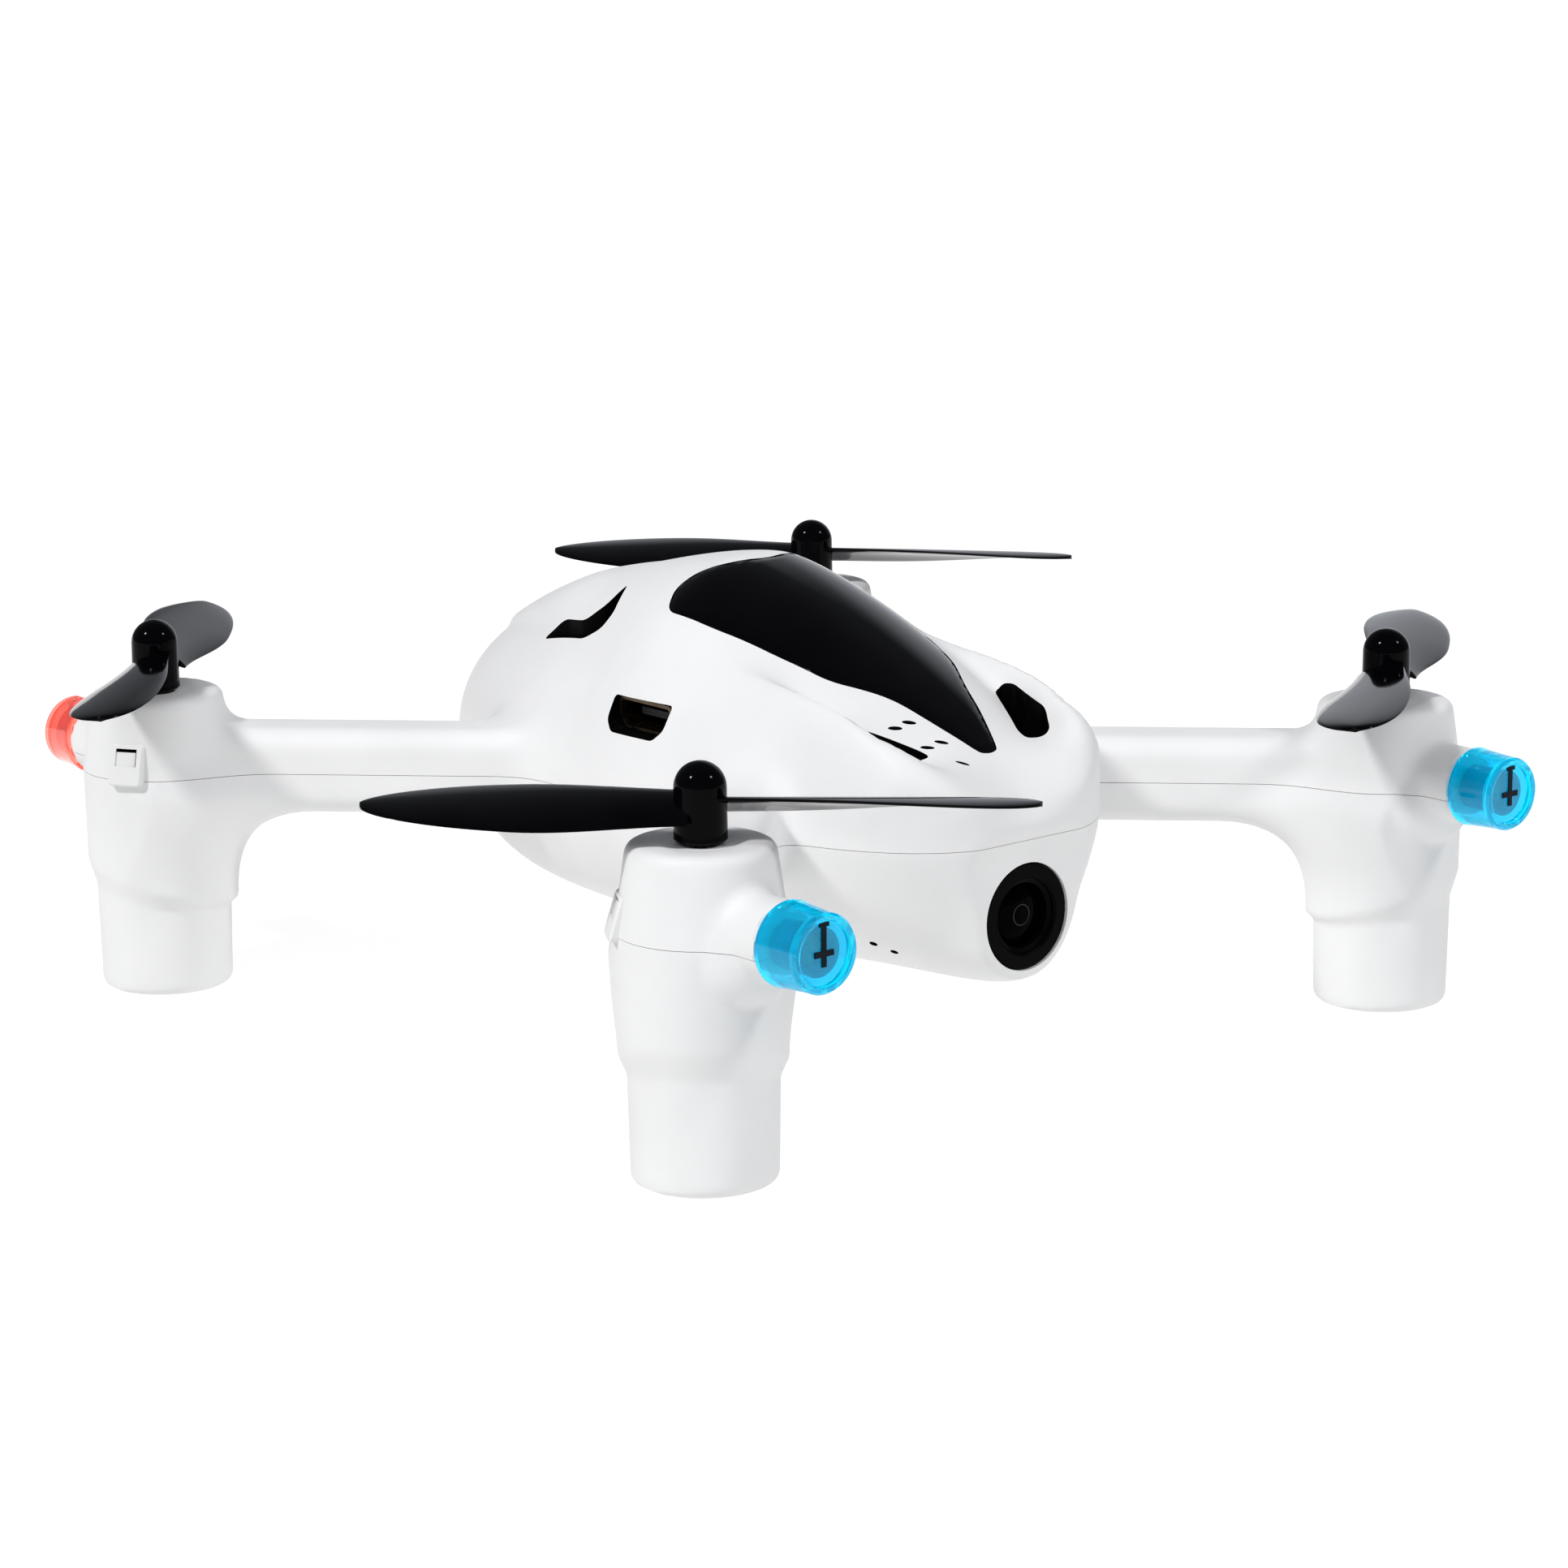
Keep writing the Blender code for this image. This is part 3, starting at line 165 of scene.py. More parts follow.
# Pods by name: side along X, side along Y, rest angle of the propeller in degrees, and the way it turns
PODS = {
    "front_right": (-1, -1, -44.5, -1),
    "front_left": (1, -1, 39.0, 1),
    "rear_right": (-1, 1, 50.0, 1),
    "rear_left": (1, 1, -50.0, -1),
}

# Size of the cells that the shells are skinned in
SKIN_STEP = 0.5

# Studio: a white backdrop behind the drone in a dimmer room, given by the way toward the backdrop and by
# pairs of nearness to that way and level, a floor with its own light, and lamps given by the way toward
# them, strength and softness in degrees
BACKDROP_WAY = (0.86, 0.50, 0.20)
BACKDROP_RAMP = ((0.88, 0.22), (0.97, 1.0))
BACKDROP_TINT = "#F2F6FF"
FLOOR_LIGHT, FLOOR_RADIUS, FLOOR_Z = 0.9, 9000.0, -0.02
LAMPS = {
    "left_lamp": ((-0.75, 0.10, 0.80), 2.05, 8.0),
    "right_lamp": ((0.45, -0.75, 0.80), 0.95, 8.0),
    "front_fill": ((-0.64, -0.76, 0.90), 0.7, 60.0),
}

# Camera of the photograph: its place, the ways behind it and to its right, and its focal length
CAMERA_PLACE = (-261.88, -314.21, 114.98)
CAMERA_BACK = (-0.627, -0.7455, 0.226)
CAMERA_RIGHT = (0.7639, -0.6453, -0.0092)
CAMERA_LENS, CAMERA_SENSOR = 101.46, 36.0


# Plain form


def ease(t):
    t = np.clip(t, 0.0, 1.0)
    return t * t * (3 - 2 * t)


def dome(ratio, power, root):
    return np.maximum(1 - np.clip(ratio, 0.0, 1.0) ** power, 0.0) ** root


def reach(y, middle):
    """Share of the way from a middle station to the nose or the tail."""
    return np.where(y < middle, (middle - y) / (middle - NOSE), (y - middle) / (TAIL - middle))


def half_width(y):
    ratio = reach(y, WIDEST_Y)
    return HALF_WIDTH * np.where(y < WIDEST_Y, dome(ratio, *PLAN_NOSE), dome(ratio, *PLAN_TAIL))


def roof(y):
    ratio = reach(y, CREST_Y)
    return SEAM + (CREST - SEAM) * np.where(y < CREST_Y, dome(ratio, *ROOF_NOSE), dome(ratio, *ROOF_TAIL))


def belly(y):
    ratio = reach(y, KEEL_Y)
    keel = KEEL + KEEL_RAKE * np.maximum(KEEL_Y - y, 0.0)
    return SEAM - (SEAM - keel) * np.where(y < KEEL_Y, dome(ratio, *KEEL_NOSE), dome(ratio, *KEEL_TAIL))


def roof_fullness(y):
    """Power of the canopy's section: nearly straight sides over the window, rounder at nose and tail."""
    nose = NOSE_GAIN * ease((NOSE_GAIN_Y - y) / NOSE_GAIN_RUN)
    rear = REAR_GAIN * ease((y - NOSE_GAIN_Y) / (REAR_GAIN_Y - NOSE_GAIN_Y))
    tail = TAIL_GAIN * np.clip((y - REAR_GAIN_Y) / (TAIL - REAR_GAIN_Y), 0.0, 1.0) ** TAIL_GAIN_CURVE
    return ROOF_FULLNESS + rear + nose + tail


def belly_fullness(y):
    loss = BELLY_NOSE_LOSS * ease(reach(y, WIDEST_Y))
    return BELLY_FULLNESS - np.where(y < WIDEST_Y, loss, 0.0)


def brow(x, y):
    """Height of the raised brow round the front of the canopy, which is lowest at its front lip."""
    across = np.abs(x) / BROW_SIDE
    ahead = np.maximum(WIDEST_Y - y, 0.0) / BROW_NOSE
    off = (across**BROW_SQUARENESS + ahead**BROW_SQUARENESS) ** (1 / BROW_SQUARENESS) - 1
    along = BROW_LIP_SHARE + (1 - BROW_LIP_SHARE) * np.minimum(across, 1.0) ** BROW_CURVE
    spread = np.where(off < 0, BROW_INNER, BROW_OUTER)
    return BROW_HEIGHT * along * ease((BROW_START - y) / BROW_RUN) * np.exp(-((off / spread) ** 2))


def spine(x, y):
    """Height of the raised spine along the rear roof."""
    share = np.clip((y - SPINE_START) / (SPINE_END - SPINE_START), 0.0, 1.0)
    wide = SPINE_WIDE + (SPINE_NARROW - SPINE_WIDE) * share
    end, edge = ease((SPINE_END - y) / SPINE_STEP), ease((wide - np.abs(x)) / SPINE_EDGE + 0.5)
    return SPINE_HEIGHT * ease(2 * share) * end * edge


def soft_side(x, wide):
    """Distance from the middle plane, with the crest rounded over."""
    return (np.sqrt(x * x + RIDGE_ROUND**2) - RIDGE_ROUND) * wide / (
        np.sqrt(wide * wide + RIDGE_ROUND**2) - RIDGE_ROUND
    )


def canopy(x, y):
    """Height of the canopy over a place in plan."""
    wide = np.maximum(half_width(y), THINNEST)
    power = roof_fullness(y)
    rise = (roof(y) - SEAM) * dome(soft_side(x, wide) / wide, power, 1 / power)
    return SEAM + rise + (brow(x, y) + spine(x, y)) * ease(rise / RELIEF_FADE)


def join(a, b, size):
    """Union of two distances with a fillet of about that size."""
    h = np.clip(0.5 + 0.5 * (b - a) / size, 0.0, 1.0)
    return b * (1 - h) + a * h - size * h * (1 - h)


def meet(a, b, size):
    """Intersection of two distances with a rounded edge."""
    return -join(-a, -b, size)


def hull_distance(x, y, z):
    """The hull without snout and arms: negative inside, and close to a true distance near the surface."""
    inside = np.clip(y, NOSE + 0.02, TAIL - 0.02)
    above = z > SEAM
    wide = np.maximum(half_width(inside), THINNEST)
    tall = np.maximum(np.where(above, roof(inside) - SEAM, SEAM - belly(inside)), THINNEST)
    power = np.where(above, roof_fullness(inside), belly_fullness(inside))
    relief = (brow(x, inside) + spine(x, inside)) * ease((z - SEAM) / RELIEF_FADE)
    lift = np.where(above, relief, 0.0)
    u = soft_side(x, wide) / wide + 1e-6
    v = np.where(above, np.maximum(z - SEAM - lift, 0.0), SEAM - z) / tall + 1e-6
    size = (u**power + v**power) ** (1 / power)
    slope = np.hypot(u ** (power - 1) / wide, v ** (power - 1) / tall) * size ** (1 - power)
    return np.maximum((size - 1) / np.maximum(slope, 0.01), np.maximum(NOSE - y, y - TAIL))


def snout_distance(x, y, z):
    return np.maximum(np.hypot(x, z - LENS_Z) - SNOUT_RADIUS, y - SNOUT_BACK)


def arm_distance(x, y, z):
    """All four arms, which lie along the diagonals."""
    along, across = (np.abs(x) + np.abs(y)) / math.sqrt(2), np.abs(np.abs(x) - np.abs(y)) / math.sqrt(2)
    side = across - ARM_HALF_WIDTH + ARM_ROUND
    up = np.abs(z - (ARM_TOP + ARM_BOTTOM) / 2) - (ARM_TOP - ARM_BOTTOM) / 2 + ARM_ROUND
    bar = np.hypot(np.maximum(side, 0), np.maximum(up, 0)) + np.minimum(np.maximum(side, up), 0) - ARM_ROUND
    return np.maximum(bar, np.maximum(ARM_START - along, along - PITCH * math.sqrt(2) + ARM_STOP))


def pod_distance(x, y, z):
    """All four motor pods with their legs."""
    px, py = np.abs(x) - PITCH, np.abs(y) - PITCH
    radius = np.hypot(px, py)
    outward = np.clip((px + py) / math.sqrt(2) / POD_RADIUS, -1.0, 1.0)
    step, rise = STEP_Z + STEP_SLANT * outward, STEP_RISE + STEP_FLARE * outward
    leg = FOOT_RADIUS + (LEG_RADIUS - FOOT_RADIUS) * z / STEP_Z
    sleeve = POD_RADIUS - POD_TAPER * np.clip((SEAM - z) / (SEAM - STEP_Z), 0, 1)
    sleeve = sleeve - (POD_RADIUS - POD_TOP_RADIUS) * np.clip((z - SEAM) / (POD_TOP - SEAM), 0, 1)
    wall = leg + (sleeve - leg) * np.clip((z - step) / rise + 0.5, 0, 1)
    top = POD_TOP - DISH_DEPTH * (1 - ease((radius - DISH_RADIUS + DISH_SLOPE / 2) / DISH_SLOPE))
    return meet(meet(radius - wall, z - top, POD_ROUND), -z, FOOT_ROUND)


def lit_pod_distance(x, y, z):
    """The pods with the round bosses that carry the lights, each with a bulge under it."""
    across, along, up = np.abs(x) - PITCH, np.abs(y) - PITCH, z - LED_Z
    ends = np.maximum(along - BOSS_END, BOSS_START - along)
    boss = np.maximum(np.hypot(across, up) - BOSS_RADIUS, ends)
    bulge = np.sqrt(across**2 + (along - BULGE_OUT) ** 2 + (up + BULGE_DROP) ** 2) - BULGE_RADIUS
    return join(join(pod_distance(x, y, z), boss, BOSS_BLEND), bulge, BULGE_BLEND)


def body_distance(x, y, z):
    """The whole white body: hull, snout, arms and pods."""
    front = SNOUT_FRONT - NOSE_LEAN * np.maximum(z - LENS_Z - SNOUT_RADIUS, 0.0) - y
    hull = meet(join(hull_distance(x, y, z), snout_distance(x, y, z), SNOUT_BLEND), front, NOSE_ROUND)
    pods = lit_pod_distance(x, y, z)
    under = ease(((ARM_BOTTOM + ARM_TOP) / 2 - z) / ARM_BLEND_RUN + 0.5)
    blend = ARM_BLEND_OVER + (ARM_BLEND_UNDER - ARM_BLEND_OVER) * under
    return join(join(hull, arm_distance(x, y, z), ARM_BLEND_HULL), pods, blend)


# Meshes


def mesh_piece(name, points, faces, material=None, crease=35.0):
    mesh = bpy.data.meshes.new(name)
    mesh.from_pydata([tuple(p) for p in np.asarray(points) * MM], [], faces)
    return finish_piece(name, mesh, material, crease)


def finish_piece(name, mesh, material=None, crease=35.0):
    bm = bmesh.new()
    bm.from_mesh(mesh)
    bmesh.ops.recalc_face_normals(bm, faces=bm.faces)
    bm.to_mesh(mesh)
    bm.free()
    mesh.shade_smooth()
    mesh.set_sharp_from_angle(angle=math.radians(crease))
    if material:
        mesh.materials.append(material)
    piece = bpy.data.objects.new(name, mesh)
    bpy.context.scene.collection.objects.link(piece)
    return piece


def loft(name, rings, material=None, closed=False, crease=35.0):
    """A skin over rings of equal point count, capped at both ends or closed into a ring."""
    count = len(rings[0])
    faces = []
    steps = len(rings) if closed else len(rings) - 1
    for r in range(steps):
        low, high = r * count, ((r + 1) % len(rings)) * count
        for i in range(count):
            j = (i + 1) % count
            faces.append((low + i, low + j, high + j, high + i))
    if not closed:
        faces += [tuple(range(count)), tuple(range(len(rings) * count - count, len(rings) * count))]
    return mesh_piece(name, [p for ring in rings for p in ring], faces, material, crease)


def turned(name, profile, matrix, material=None, sides=64, closed=False, crease=30.0):
    """A turned piece about its own Z from (radius, height) pairs."""
    rings = []
    for radius, z in profile:
        angles = [2 * math.pi * (i + 0.37) / sides for i in range(sides)]
        rings.append([matrix @ Vector((radius * math.cos(a), radius * math.sin(a), z)) for a in angles])
    return loft(name, rings, material, closed, crease)


def skin(name, distance, low, high, step):
    """Quads over the zero surface of a distance, one point for each cell that it crosses."""
    axes = [np.arange(low[i], high[i] + step, step) for i in range(3)]
    value = np.empty([len(a) for a in axes])
    for i, x in enumerate(axes[0]):
        y, z = np.meshgrid(axes[1], axes[2], indexing="ij")
        value[i] = distance(np.full_like(y, x), y, z)
    solid = value < 0
    corners = [(a, b, c) for a in (0, 1) for b in (0, 1) for c in (0, 1)]
    shape = [len(a) - 1 for a in axes]
    held = sum(solid[a : a + shape[0], b : b + shape[1], c : c + shape[2]].astype(int) for a, b, c in corners)
    used = (held > 0) & (held < 8)
    number = np.full(shape, -1)
    number[used] = np.arange(used.sum())
    points = np.argwhere(used) * step + np.array([a[0] for a in axes]) + step / 2
    quads = []
    for axis in range(3):
        order = [axis, (axis + 1) % 3, (axis + 2) % 3]
        turned_solid, turned_number = solid.transpose(order), number.transpose(order)
        first, second = turned_solid[:-1, 1:-1, 1:-1], turned_solid[1:, 1:-1, 1:-1]
        i, j, k = np.nonzero(first != second)
        quad = np.stack([turned_number[i, j, k], turned_number[i, j + 1, k],
                         turned_number[i, j + 1, k + 1], turned_number[i, j, k + 1]], 1)
        flip = second[i, j, k]
        quad[flip] = quad[flip][:, ::-1]
        quads.append(quad)
    quads = np.concatenate(quads)
    points = settle(points, quads, distance, step)
    return mesh_piece(name, points, [tuple(q) for q in quads.tolist()], None, 180.0)


def settle(points, quads, distance, step):
    """Even out the points along the surface, and draw them onto it."""
    edges = np.concatenate([quads[:, [i, (i + 1) % 4]] for i in range(4)])
    edges = np.concatenate([edges, edges[:, ::-1]])
    links = np.bincount(edges[:, 0], minlength=len(points))[:, None]
    for turn in range(8):
        if turn < 5:
            near = [np.bincount(edges[:, 0], points[edges[:, 1], axis], len(points)) for axis in range(3)]
            points = 0.4 * points + 0.6 * np.stack(near, 1) / links
        points = points - pull(points, distance, 0.6 * step)
    return points


def pull(points, distance, limit, probe=0.03):
    """Step from each point to the surface, along the distance's slope."""
    value = distance(*points.T)
    slope = np.empty_like(points)
    for axis in range(3):
        shift = np.zeros(3)
        shift[axis] = probe
        slope[:, axis] = (distance(*(points + shift).T) - distance(*(points - shift).T)) / (2 * probe)
    move = slope * (value / np.maximum((slope**2).sum(1), 0.05))[:, None]
    length = np.linalg.norm(move, axis=1, keepdims=True)
    return move * np.minimum(1.0, limit / np.maximum(length, 1e-9))


def plate(name, outline, top, bottom, material=None, cell=0.9, edge=0.0):
    """A plate over a plan outline. Its faces follow two height functions, and its top edge may be eased."""
    bm = bmesh.new()
    face = bm.faces.new([bm.verts.new((x, y, 0.0)) for x, y in outline])
    if edge:
        bmesh.ops.inset_region(bm, faces=[face], thickness=edge, use_even_offset=True)
    low, high = np.min(outline, 0), np.max(outline, 0)
    for axis in (0, 1):
        normal = [0.0, 0.0, 0.0]
        normal[axis] = 1.0
        for at in np.arange(low[axis] + cell / 2, high[axis], cell):
            place = [0.0, 0.0, 0.0]
            place[axis] = at
            bmesh.ops.bisect_plane(bm, geom=bm.verts[:] + bm.edges[:] + bm.faces[:], plane_co=place,
                                   plane_no=normal, dist=0.0005)
    rim = {v for e in bm.edges if len(e.link_faces) == 1 for v in e.verts}
    roof_faces = bm.faces[:]
    floor = bmesh.ops.duplicate(bm, geom=bm.verts[:] + bm.edges[:] + roof_faces)
    twin = floor["vert_map"]
    sides = [e for e in bm.edges if len(e.link_faces) == 1 and e.verts[0] in rim and e.verts[1] in rim]
    for edge_line in [e for e in sides if e.verts[0] in twin and e.link_faces[0] in roof_faces]:
        a, b = edge_line.verts
        bm.faces.new((a, b, twin[b], twin[a]))
    upper = {v for f in roof_faces for v in f.verts}
    for v in list(upper):
        x, y = v.co.x, v.co.y
        v.co.z = float(top(x, y)) - (edge if edge and v in rim else 0.0)
        twin[v].co.z = float(bottom(x, y))
    for v in bm.verts:
        v.co *= MM
    mesh = bpy.data.meshes.new(name)
    bm.to_mesh(mesh)
    bm.free()
    return finish_piece(name, mesh, material, 40.0)


def rounded(points, radius, steps=5):
    """A plan outline with its corners rounded off."""
    out = []
    count = len(points)
    for i in range(count):
        here = Vector(points[i])
        back, ahead = Vector(points[i - 1]) - here, Vector(points[(i + 1) % count]) - here
        size = min(radius, back.length * 0.45, ahead.length * 0.45)
        start, end = here + back.normalized() * size, here + ahead.normalized() * size
        for s in range(steps + 1):
            t = s / steps
            out.append(tuple(start * (1 - t) ** 2 + here * 2 * t * (1 - t) + end * t * t))
    return out


def prism(name, outline, low, high, matrix=None, material=None):
    """An outline drawn out along Z between two heights."""
    matrix = matrix or Matrix.Identity(4)
    rings = [[matrix @ Vector((x, y, z)) for x, y in outline] for z in (low, high)]
    return loft(name, rings, material)


def box_outline(low, high):
    return [(low[0], low[1]), (high[0], low[1]), (high[0], high[1]), (low[0], high[1])]


def cut(piece, cutters, operation="DIFFERENCE"):
    """Boolean of a piece with a set of helpers, which are used up."""
    helpers = bpy.data.collections.new("helpers")
    bpy.context.scene.collection.children.link(helpers)
    for helper in cutters:
        bpy.context.scene.collection.objects.unlink(helper)
        helpers.objects.link(helper)
    modifier = piece.modifiers.new("cut", "BOOLEAN")
    modifier.operation = operation
    modifier.operand_type = "COLLECTION"
    modifier.collection = helpers
    modifier.solver = "MANIFOLD"
    modifier.material_mode = "TRANSFER"
    graph = bpy.context.evaluated_depsgraph_get()
    mesh = bpy.data.meshes.new_from_object(piece.evaluated_get(graph))
    piece.modifiers.clear()
    piece.data = mesh
    for helper in cutters:
        bpy.data.objects.remove(helper)
    bpy.data.collections.remove(helpers)
    mesh.set_sharp_from_angle(angle=math.radians(32))
    return piece


def twin_of(piece, name):
    twin = piece.copy()
    twin.data = piece.data.copy()
    twin.name = name
    bpy.context.scene.collection.objects.link(twin)
    return twin


def keep(piece, body, slot, *nodes):
    """Tie a piece to its body and hide the solids it stands for. The slot is not used."""
    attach(piece, body)
    if nodes:
        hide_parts(*nodes)
    return piece


# Materials


def linear(code):
    """Linear colour of an sRGB hex value."""
    parts = [int(code[i : i + 2], 16) / 255 for i in (1, 3, 5)]
    return [p / 12.92 if p <= 0.04045 else ((p + 0.055) / 1.055) ** 2.4 for p in parts] + [1.0]


def add(tree, kind, settings=None, **links):
    """Add a node, set its own values, and link its inputs by name. A link's underscores stand for spaces."""
    node = tree.nodes.new(kind)
    for key, value in (settings or {}).items():
        if key in node.inputs:
            node.inputs[key].default_value = value
        else:
            setattr(node, key, value)
    for key, source in links.items():
        tree.links.new(source, node.inputs[key.replace("_", " ")])
    return node


def finish(name, colour, shade, rough, grain_mm, relief=0.0, patch_mm=6.0, **shader):
    """A surface with cloudy colour between two shades, uneven gloss and a fine grain.

    rough gives the lowest and highest roughness, grain_mm the grain's size, relief its depth and patch_mm the
    size of the clouds. A grain that is finer in life is drawn this coarse so that it shows.
    """
    material = bpy.data.materials.new(name)
    material.use_nodes = True
    tree = material.node_tree
    bsdf = tree.nodes["Principled BSDF"]
    for key, value in shader.items():
        bsdf.inputs[key.replace("_", " ")].default_value = value
    place = add(tree, "ShaderNodeTexCoord").outputs["Object"]
    cloud = add(tree, "ShaderNodeTexNoise", {"Scale": 1 / (patch_mm * MM), "Detail": 3.0}, Vector=place)
    grain = add(tree, "ShaderNodeTexNoise", {"Scale": 1 / (grain_mm * MM), "Detail": 2.0}, Vector=place)
    ramp = add(tree, "ShaderNodeValToRGB", {}, Fac=cloud.outputs["Fac"])
    for element, position, code in zip(ramp.color_ramp.elements, (0.35, 0.65), (shade, colour)):
        element.position = position
        element.color = linear(code)
    spread = {"From Min": 0.3, "From Max": 0.7, "To Min": rough[0], "To Max": rough[1]}
    gloss = add(tree, "ShaderNodeMapRange", spread, Value=grain.outputs["Fac"])
    tree.links.new(ramp.outputs["Color"], bsdf.inputs["Base Color"])
    tree.links.new(gloss.outputs["Result"], bsdf.inputs["Roughness"])
    if relief:
        depth = {"Strength": 1.0, "Distance": relief * MM}
        bump = add(tree, "ShaderNodeBump", depth, Height=grain.outputs["Fac"])
        tree.links.new(bump.outputs["Normal"], bsdf.inputs["Normal"])
    return material


def make_finishes():
    """One finish for each slot of the record, and the ones that only the looks need."""
    return shell_finishes() | light_finishes() | camera_finishes() | inner_finishes()


def shell_finishes():
    return {
        # White ABS moulded against a fine spark-eroded tool: an even satin with a soft, broad highlight.
        "white_plastic": finish(
            "abs_moulded_white", "#E1E1E1", "#DDDDDD", (0.46, 0.56), 0.35, 0.003, 9.0, IOR=1.3
        ),
        # Bare inside of the shell seen through a hole, drawn near black: painted shade, since little light
        # reaches it.
        "painted_shade_inside": finish(
            "abs_painted_shade_black", "#060607", "#040405", (0.35, 0.5), 0.6, 0.0, 3.0, IOR=1.1
        ),
        # Black polycarbonate from a polished tool: deep, with sharp reflections and a faint waviness.
        "window_black": finish(
            "polycarbonate_polished_black", "#040405", "#020203", (0.05, 0.09), 2.0, 0.0, 8.0, IOR=1.17
        ),
        # Black nylon moulded thin: grey sheen on the blade faces, bright glints on the edges.
        "propeller_black": finish(
            "nylon_moulded_black", "#040406", "#020203", (0.05, 0.09), 1.2, 0.0, 5.0, IOR=1.16
        ),
        # The same nylon against a polished tool: small bright highlights on the hub's dome.
        "hub_black": finish(
            "nylon_polished_black", "#040406", "#020203", (0.04, 0.07), 1.2, 0.0, 5.0, IOR=1.13
        ),
    }


def light_finishes():
    return {
        # Acrylic tinted in the mass and left clear: saturated where light crosses more of it. A faint painted
        # glow stands in for light that passes through the cap.
        "led_blue": finish(
            "acrylic_tinted_blue_painted_glow", "#1CE6FF", "#14DCF6", (0.02, 0.05), 1.5, 0.0, 4.0, IOR=1.4,
            Transmission_Weight=0.9, Emission_Color=linear("#00B4E0"), Emission_Strength=0.12
        ),
        # The same in red: a warm coral with brighter rims, and a faint painted glow for light that passes
        # through the cap.
        "led_red": finish(
            "acrylic_tinted_red_painted_glow", "#FFA094", "#F8968A", (0.02, 0.05), 1.5, 0.0, 4.0, IOR=1.4,
            Transmission_Weight=0.9, Emission_Color=linear("#F05A48"), Emission_Strength=0.2
        ),
        # Acrylics in the inner tubes: a ring behind each cap's face, drawn a deeper tint than the cap as
        # painted shade inside it.
        "tube_blue": finish(
            "acrylic_blue_painted_shade", "#007CB0", "#006C9C", (0.04, 0.08), 1.5, 0.0, 4.0, IOR=1.4,
            Transmission_Weight=0.5
        ),
        "tube_red": finish(
            "acrylic_red_painted_shade", "#C83A30", "#B43028", (0.04, 0.08), 1.5, 0.0, 4.0, IOR=1.4,
            Transmission_Weight=0.5
        ),
        # Cast clear epoxy: only its outline shows behind the tinted cap.
        "led_resin": finish(
            "epoxy_cast_clear", "#E8F4F8", "#DCECF2", (0.05, 0.10), 0.8, 0.0, 3.0, IOR=1.3,
            Transmission_Weight=0.9
        ),
        # Lead frame on the cap's face: drawn near black, with a blue cast.
        "lead_frame": finish(
            "lead_frame_near_black", "#06121C", "#040C14", (0.35, 0.5), 0.5, 0.0, 2.0, IOR=1.2
        ),
    }


def camera_finishes():
    return {
        # Black ABS, satin: the bezel reads a shade lighter than the lens.
        "lens_black": finish(
            "abs_moulded_black", "#030304", "#020203", (0.34, 0.44), 0.6, 0.0, 3.0, IOR=1.1
        ),
        # Coated glass over a dark barrel: black with a small hard highlight.
        "lens_glass": finish(
            "glass_coated_dark", "#020203", "#010102", (0.02, 0.04), 1.0, 0.0, 3.0, IOR=1.06
        ),
    }


def inner_finishes():
    return {
        # Nickel over steel, tarnished to bronze: warm dark metal.
        "socket_steel": finish(
            "steel_plated_bronze", "#6A5C4C", "#54483A", (0.22, 0.38), 0.5, 0.002, 2.0, Metallic=1.0
        ),
        # Drawn steel shaft: bright, with a narrow glint along it.
        "motor_steel": finish(
            "steel_drawn_bright", "#B9B7B3", "#A9A7A3", (0.18, 0.30), 0.4, 0.001, 3.0, Metallic=1.0
        ),
        # Turned brass: brown gold and half dull.
        "bush_brass": finish(
            "brass_turned", "#8A6A42", "#76583A", (0.25, 0.36), 0.3, 0.001, 2.0, Metallic=1.0
        ),
        # Tinned sheet: pale grey metal with a blurred sheen.
        "tin_can": finish(
            "steel_tinned_sheet", "#BDBDBA", "#AEAEAB", (0.28, 0.40), 0.5, 0.001, 3.0, Metallic=1.0
        ),
        # Blackened steel: dark metal with a soft glint.
        "screw_steel": finish(
            "steel_blackened", "#3A3A3A", "#2C2C2C", (0.30, 0.45), 0.3, 0.001, 1.0, Metallic=1.0
        ),
        # White nylon, moulded: a little creamier than the shell.
        "end_cap_plastic": finish(
            "nylon_moulded_white", "#E2E2DF", "#D8D8D4", (0.35, 0.5), 0.4, 0.003, 2.0
        ),
        # Silicone sleeve, extruded: dull red.
        "lead_sleeve": finish(
            "silicone_sleeve_red", "#A81C1C", "#901616", (0.4, 0.55), 0.5, 0.003, 4.0
        ),
        # Solder mask, screened and cured: bottle green with a mild gloss.
        "circuit_board": finish(
            "solder_mask_green", "#12502C", "#0D4224", (0.25, 0.4), 0.6, 0.003, 2.0
        ),
        # Filled epoxy, moulded: matt charcoal with a fine grit.
        "chip_black": finish(
            "epoxy_moulded_black", "#17171A", "#101012", (0.45, 0.6), 0.2, 0.004, 1.5
        ),
        # Polyimide film: amber and smooth.
        "ribbon_film": finish(
            "polyimide_film_amber", "#9A5E1E", "#8A5018", (0.25, 0.35), 0.8, 0.001, 3.0
        ),
        # Shrink film drawn tight over the cell: deep blue with a faintly crinkled gloss.
        "battery_wrap": finish(
            "shrink_film_blue", "#1E3C84", "#183274", (0.22, 0.34), 1.0, 0.004, 5.0
        ),
    }


# Frames of the repeated pieces


def pod_frame(side_x, side_y):
    return Matrix.Translation((side_x * PITCH, side_y * PITCH, 0.0))


def light_frame(side_x, side_y):
    """Frame at a light's pod whose +Z runs out along the light, with +Y up."""
    turn = Matrix(((-side_y, 0, 0), (0, 0, side_y), (0, 1, 0))).to_4x4()
    return Matrix.Translation((side_x * PITCH, side_y * PITCH, LED_Z)) @ turn


def tab_frame(side_x, side_y):
    angle = math.atan2(side_y * TAB_DIRECTION[1], side_x * TAB_DIRECTION[0])
    return pod_frame(side_x, side_y) @ Matrix.Rotation(angle, 4, "Z")


